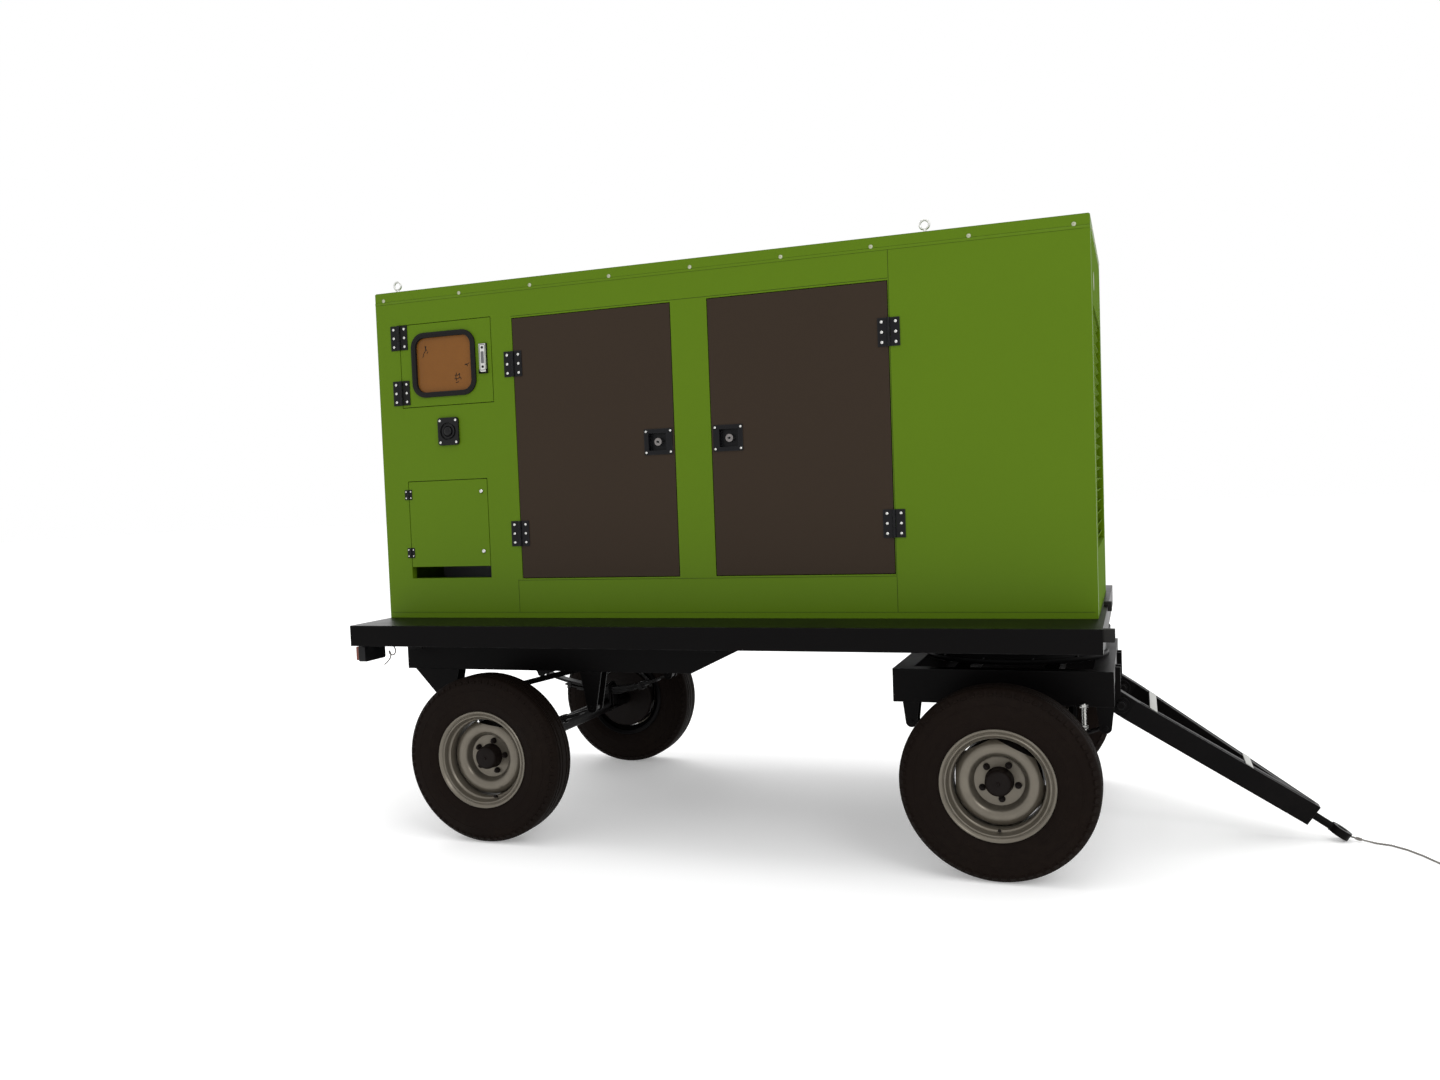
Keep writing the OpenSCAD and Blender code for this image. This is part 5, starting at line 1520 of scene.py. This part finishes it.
@dataclass
class GeneratingSet:
    """Detail on the machinery inside, seen through the open doors."""

    crank_z: float = 1.56
    fan_z: float = 1.84
    head_z: float = 1.975

    def build(self) -> None:
        """Builds the engine's, alternator's and radiator's details."""
        self._belt()
        self._engine_fittings()
        self._alternator_fins()
        self._radiator_fins()
        self._panel()

    def _belt(self) -> None:
        """Runs the belt round the fan and crank pulleys."""
        big, small, x = 0.1015, 0.0765, 2.417
        rise = self.fan_z - self.crank_z
        lean = math.asin((big - small) / rise)
        ring = []
        for start, sweep, radius, z in ((math.pi + lean, math.pi - 2 * lean, big, self.crank_z),
                                        (-lean, math.pi + 2 * lean, small, self.fan_z)):
            ring += [along(x, radius * math.cos(start + a), z + radius * math.sin(start + a))
                     for a in angles(24, sweep, ends=True)]
        Shaper().tube(ring, 0.0052, ring=1, loop=True).piece("fan_belt", SEAL_BLACK)

    def _engine_fittings(self) -> None:
        """Adds bolts, injector lines, a filter and ribs to the engine."""
        bolts, lines, body = Shaper(), Shaper(), Shaper()
        for i in range(6):
            x = 1.445 + 0.15 * i
            for y in (-0.075, 0.075):
                bolts.hexagon(0.016, 0.01, Matrix.Translation(along(x + 0.065, y, self.head_z)))
            for side in Side:
                bolts.hexagon(0.018, 0.008, spot(along(x + 0.065, side.value * 0.225, 1.5),
                                                 (0, side.value, 0)))
            start = along(1.62 + 0.022 * i, -0.262, 1.6)
            end = along(x + 0.065, -0.145, 1.905)
            points = [start.lerp(end, t / 12) + Vector((0, -0.035 * math.sin(math.pi * t / 12), 0))
                      for t in range(13)]
            lines.tube(points, 0.0035, ring=2)
            body.block(along(x + 0.01, 0.2245, 1.43), along(x + 0.022, 0.231, 1.64), 0.002)
            body.block(along(x + 0.01, -0.231, 1.43), along(x + 0.022, -0.2245, 1.5), 0.002)
        filter_at = Matrix.Translation(along(2.18, -0.3, 1.42))
        body.lathe([(0.0, 0.0), (0.046, 0.0), (0.05, 0.006), (0.05, 0.15), (0.047, 0.16),
                    (0.03, 0.164), (0.03, 0.18), (0.0, 0.18)], 40, filter_at)
        body.block(along(2.13, -0.34, 1.6), along(2.23, -0.224, 1.65), 0.006)
        bolts.piece("engine_bolts", PLATED)
        lines.piece("engine_fuel_lines", PLATED)
        body.piece("engine_ribs_and_filter", ENGINE_GREY)

    def _alternator_fins(self) -> None:
        """Adds cooling ribs, end bolts and four top screws to the alternator."""
        fins, bolts = Shaper(), Shaper()
        for angle in angles(40):
            if math.sin(angle) > 0.72:
                continue
            turn = Matrix.Translation(along(0.0, 0.0, self.crank_z)) @ Matrix.Rotation(
                angle, 4, "X")
            fins.block((0.79, 0.2335, -0.003), (1.3, 0.244, 0.003), 0.0012, turn, segments=1)
        for i in range(8):
            angle = math.tau * (i + 0.5) / 8
            bolts.hexagon(0.019, 0.009, spot(along(0.7395, 0.218 * math.cos(angle),
                                                   self.crank_z + 0.218 * math.sin(angle)),
                                             (-1, 0, 0)))
        for x in (0.815, 1.165):
            for y in (-0.172, 0.172):
                bolts.screw(0.008, Matrix.Translation(along(x, y, self.crank_z + 0.42)))
        fins.piece("alternator_ribs", ENGINE_GREY)
        bolts.piece("alternator_bolts", PLATED)

    def _radiator_fins(self) -> None:
        """Adds upright tubes, cap and guard to the radiator."""
        shaper, cap = Shaper(), Shaper()
        for i in range(60):
            y = -0.45 + 0.9 * i / 59
            shaper.block(along(2.6195, y - 0.003, 1.245), along(2.6235, y + 0.003, 2.115))
        for i in range(26):
            z = 1.255 + 0.86 * i / 25
            shaper.block(along(2.623, -0.455, z - 0.0012), along(2.6245, 0.455, z + 0.0012))
        shaper.piece("radiator_tubes", CORE_DARK)
        cap.lathe([(0.0, 0.0), (0.03, 0.0), (0.03, 0.012), (0.036, 0.013), (0.036, 0.022),
                   (0.03, 0.026), (0.0, 0.027)], 32, Matrix.Translation(along(2.605, 0.0, 2.23)))
        cap.piece("radiator_cap", PLATED)

    def _panel(self) -> None:
        """Adds the controller, gauges and switches behind the window."""
        dark, bright, glow = Shaper(), Shaper(), Shaper()
        face = Matrix.Translation(along(0.37, -0.5465, 2.215)) @ Matrix.Rotation(
            math.pi / 2, 4, "X")
        dark.plate(0.17, 0.12, 0.01, 0.01, 0.003, face)
        glow.plate(0.09, 0.05, 0.0008, 0.003, 0.0, face @ move(0, 0.018, 0.01))
        for x, y in product((-0.066, 0.066), (-0.044, -0.016)):
            dark.rod(0.007, 0.0035, face @ move(x, y, 0.01), 20, 0.001)
        for x in (-0.14, 0.14):
            bright.lathe([(0.0, 0.0005), (0.024, 0.0005), (0.026, 0.006), (0.03, 0.006),
                          (0.031, 0.0), (0.0, 0.0)], 40, face @ move(x, 0.02, 0.0))
        dark.piece("controller_case", PLASTIC_BLACK)
        glow.piece("controller_display", CABINET)
        bright.piece("panel_gauges", PLATED)


EDGE_NODES = {
    0.0005: ("outlet_door_hardware",),
    0.0008: ("fixed_hinge_leaves", "hardware_right_rear", "hardware_right_front",
             "hardware_left_rear", "hardware_left_front", "control_door_hardware",
             "control_window"),
    0.001: ("cooling_fan",),
    0.0012: ("canopy_side_right", "canopy_side_left", "control_latch"),
    0.0014: ("door_right_rear", "door_right_front", "door_left_rear", "door_left_front",
             "control_door", "outlet_door"),
    0.0016: ("canopy_roof",),
    0.002: ("rear_subframe", "turntable_upper_ring", "turntable_lower_ring", "bogie_frame",
             "base_tank", "radiator", "crank_pulley", "front_axle", "rear_axle"),
    0.0022: ("deck_frame",),
    0.0025: ("stop_button_bezel",),
    0.003: ("drawbar", "control_cabinet", "rubber_mounts"),
    0.004: ("tow_eye", "muffler", "air_cleaner"),
    0.005: ("cylinder_head", "alternator", "battery"),
    0.006: ("engine_block",),
}
CAD_EDGES = {name: width for width, names in EDGE_NODES.items() for name in names}


def dress_frame() -> None:
    """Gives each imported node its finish, and rounds its sharp edges slightly."""
    slots = {one["node"]: one["material_slot"] for one in frame["record"]["subparts"]}
    for name, node in frame["nodes"].items():
        finish = CANOPY_END if name == "canopy_front" else SLOT_FINISH[slots[name]]
        node.data.materials.clear()
        node.data.materials.append(finish.material())
        for face in node.data.polygons:
            face.material_index = 0
        if name in CAD_EDGES:
            round_edges(node, CAD_EDGES[name])


def round_edges(node: bpy.types.Object, width: float) -> None:
    """Joins a node's flat faces and rounds its edges, in live modifiers."""
    weld = node.modifiers.new("weld", "WELD")
    weld.merge_threshold = 0.00002
    flat = node.modifiers.new("flat", "DECIMATE")
    flat.decimate_type = "DISSOLVE"
    flat.angle_limit = math.radians(0.6)
    bevel = node.modifiers.new("edge", "BEVEL")
    bevel.width = width
    bevel.segments = 2
    bevel.limit_method = "ANGLE"
    bevel.angle_limit = math.radians(38)
    bevel.use_clamp_overlap = True
    bevel.harden_normals = False


def main() -> None:
    """Builds the camera, the rope, every sub-assembly and the studio, in that order."""
    logging.basicConfig(level=logging.INFO, format="%(name)s %(message)s")
    studio = Studio()
    studio.camera()
    TowRope().build()
    dress_frame()
    for name, x, turn in (("front", 2.91, 0.0), ("rear", 0.656, 0.3)):
        for side in Side:
            Wheel(f"{name}_{side.name.lower()}", x, side, turn=turn).build()
    AxleSprings("front", 2.91, 0.545, "bogie").build()
    AxleSprings("rear", 0.656, 0.56, "chassis").build()
    Trailer().build()
    Canopy().build()
    for front in (False, True):
        for side in Side:
            ServiceDoor(front, side).build()
    ControlDoor().build()
    SmallFittings().build()
    GeneratingSet().build()
    studio.build()


if __name__ == "__main__":
    main()
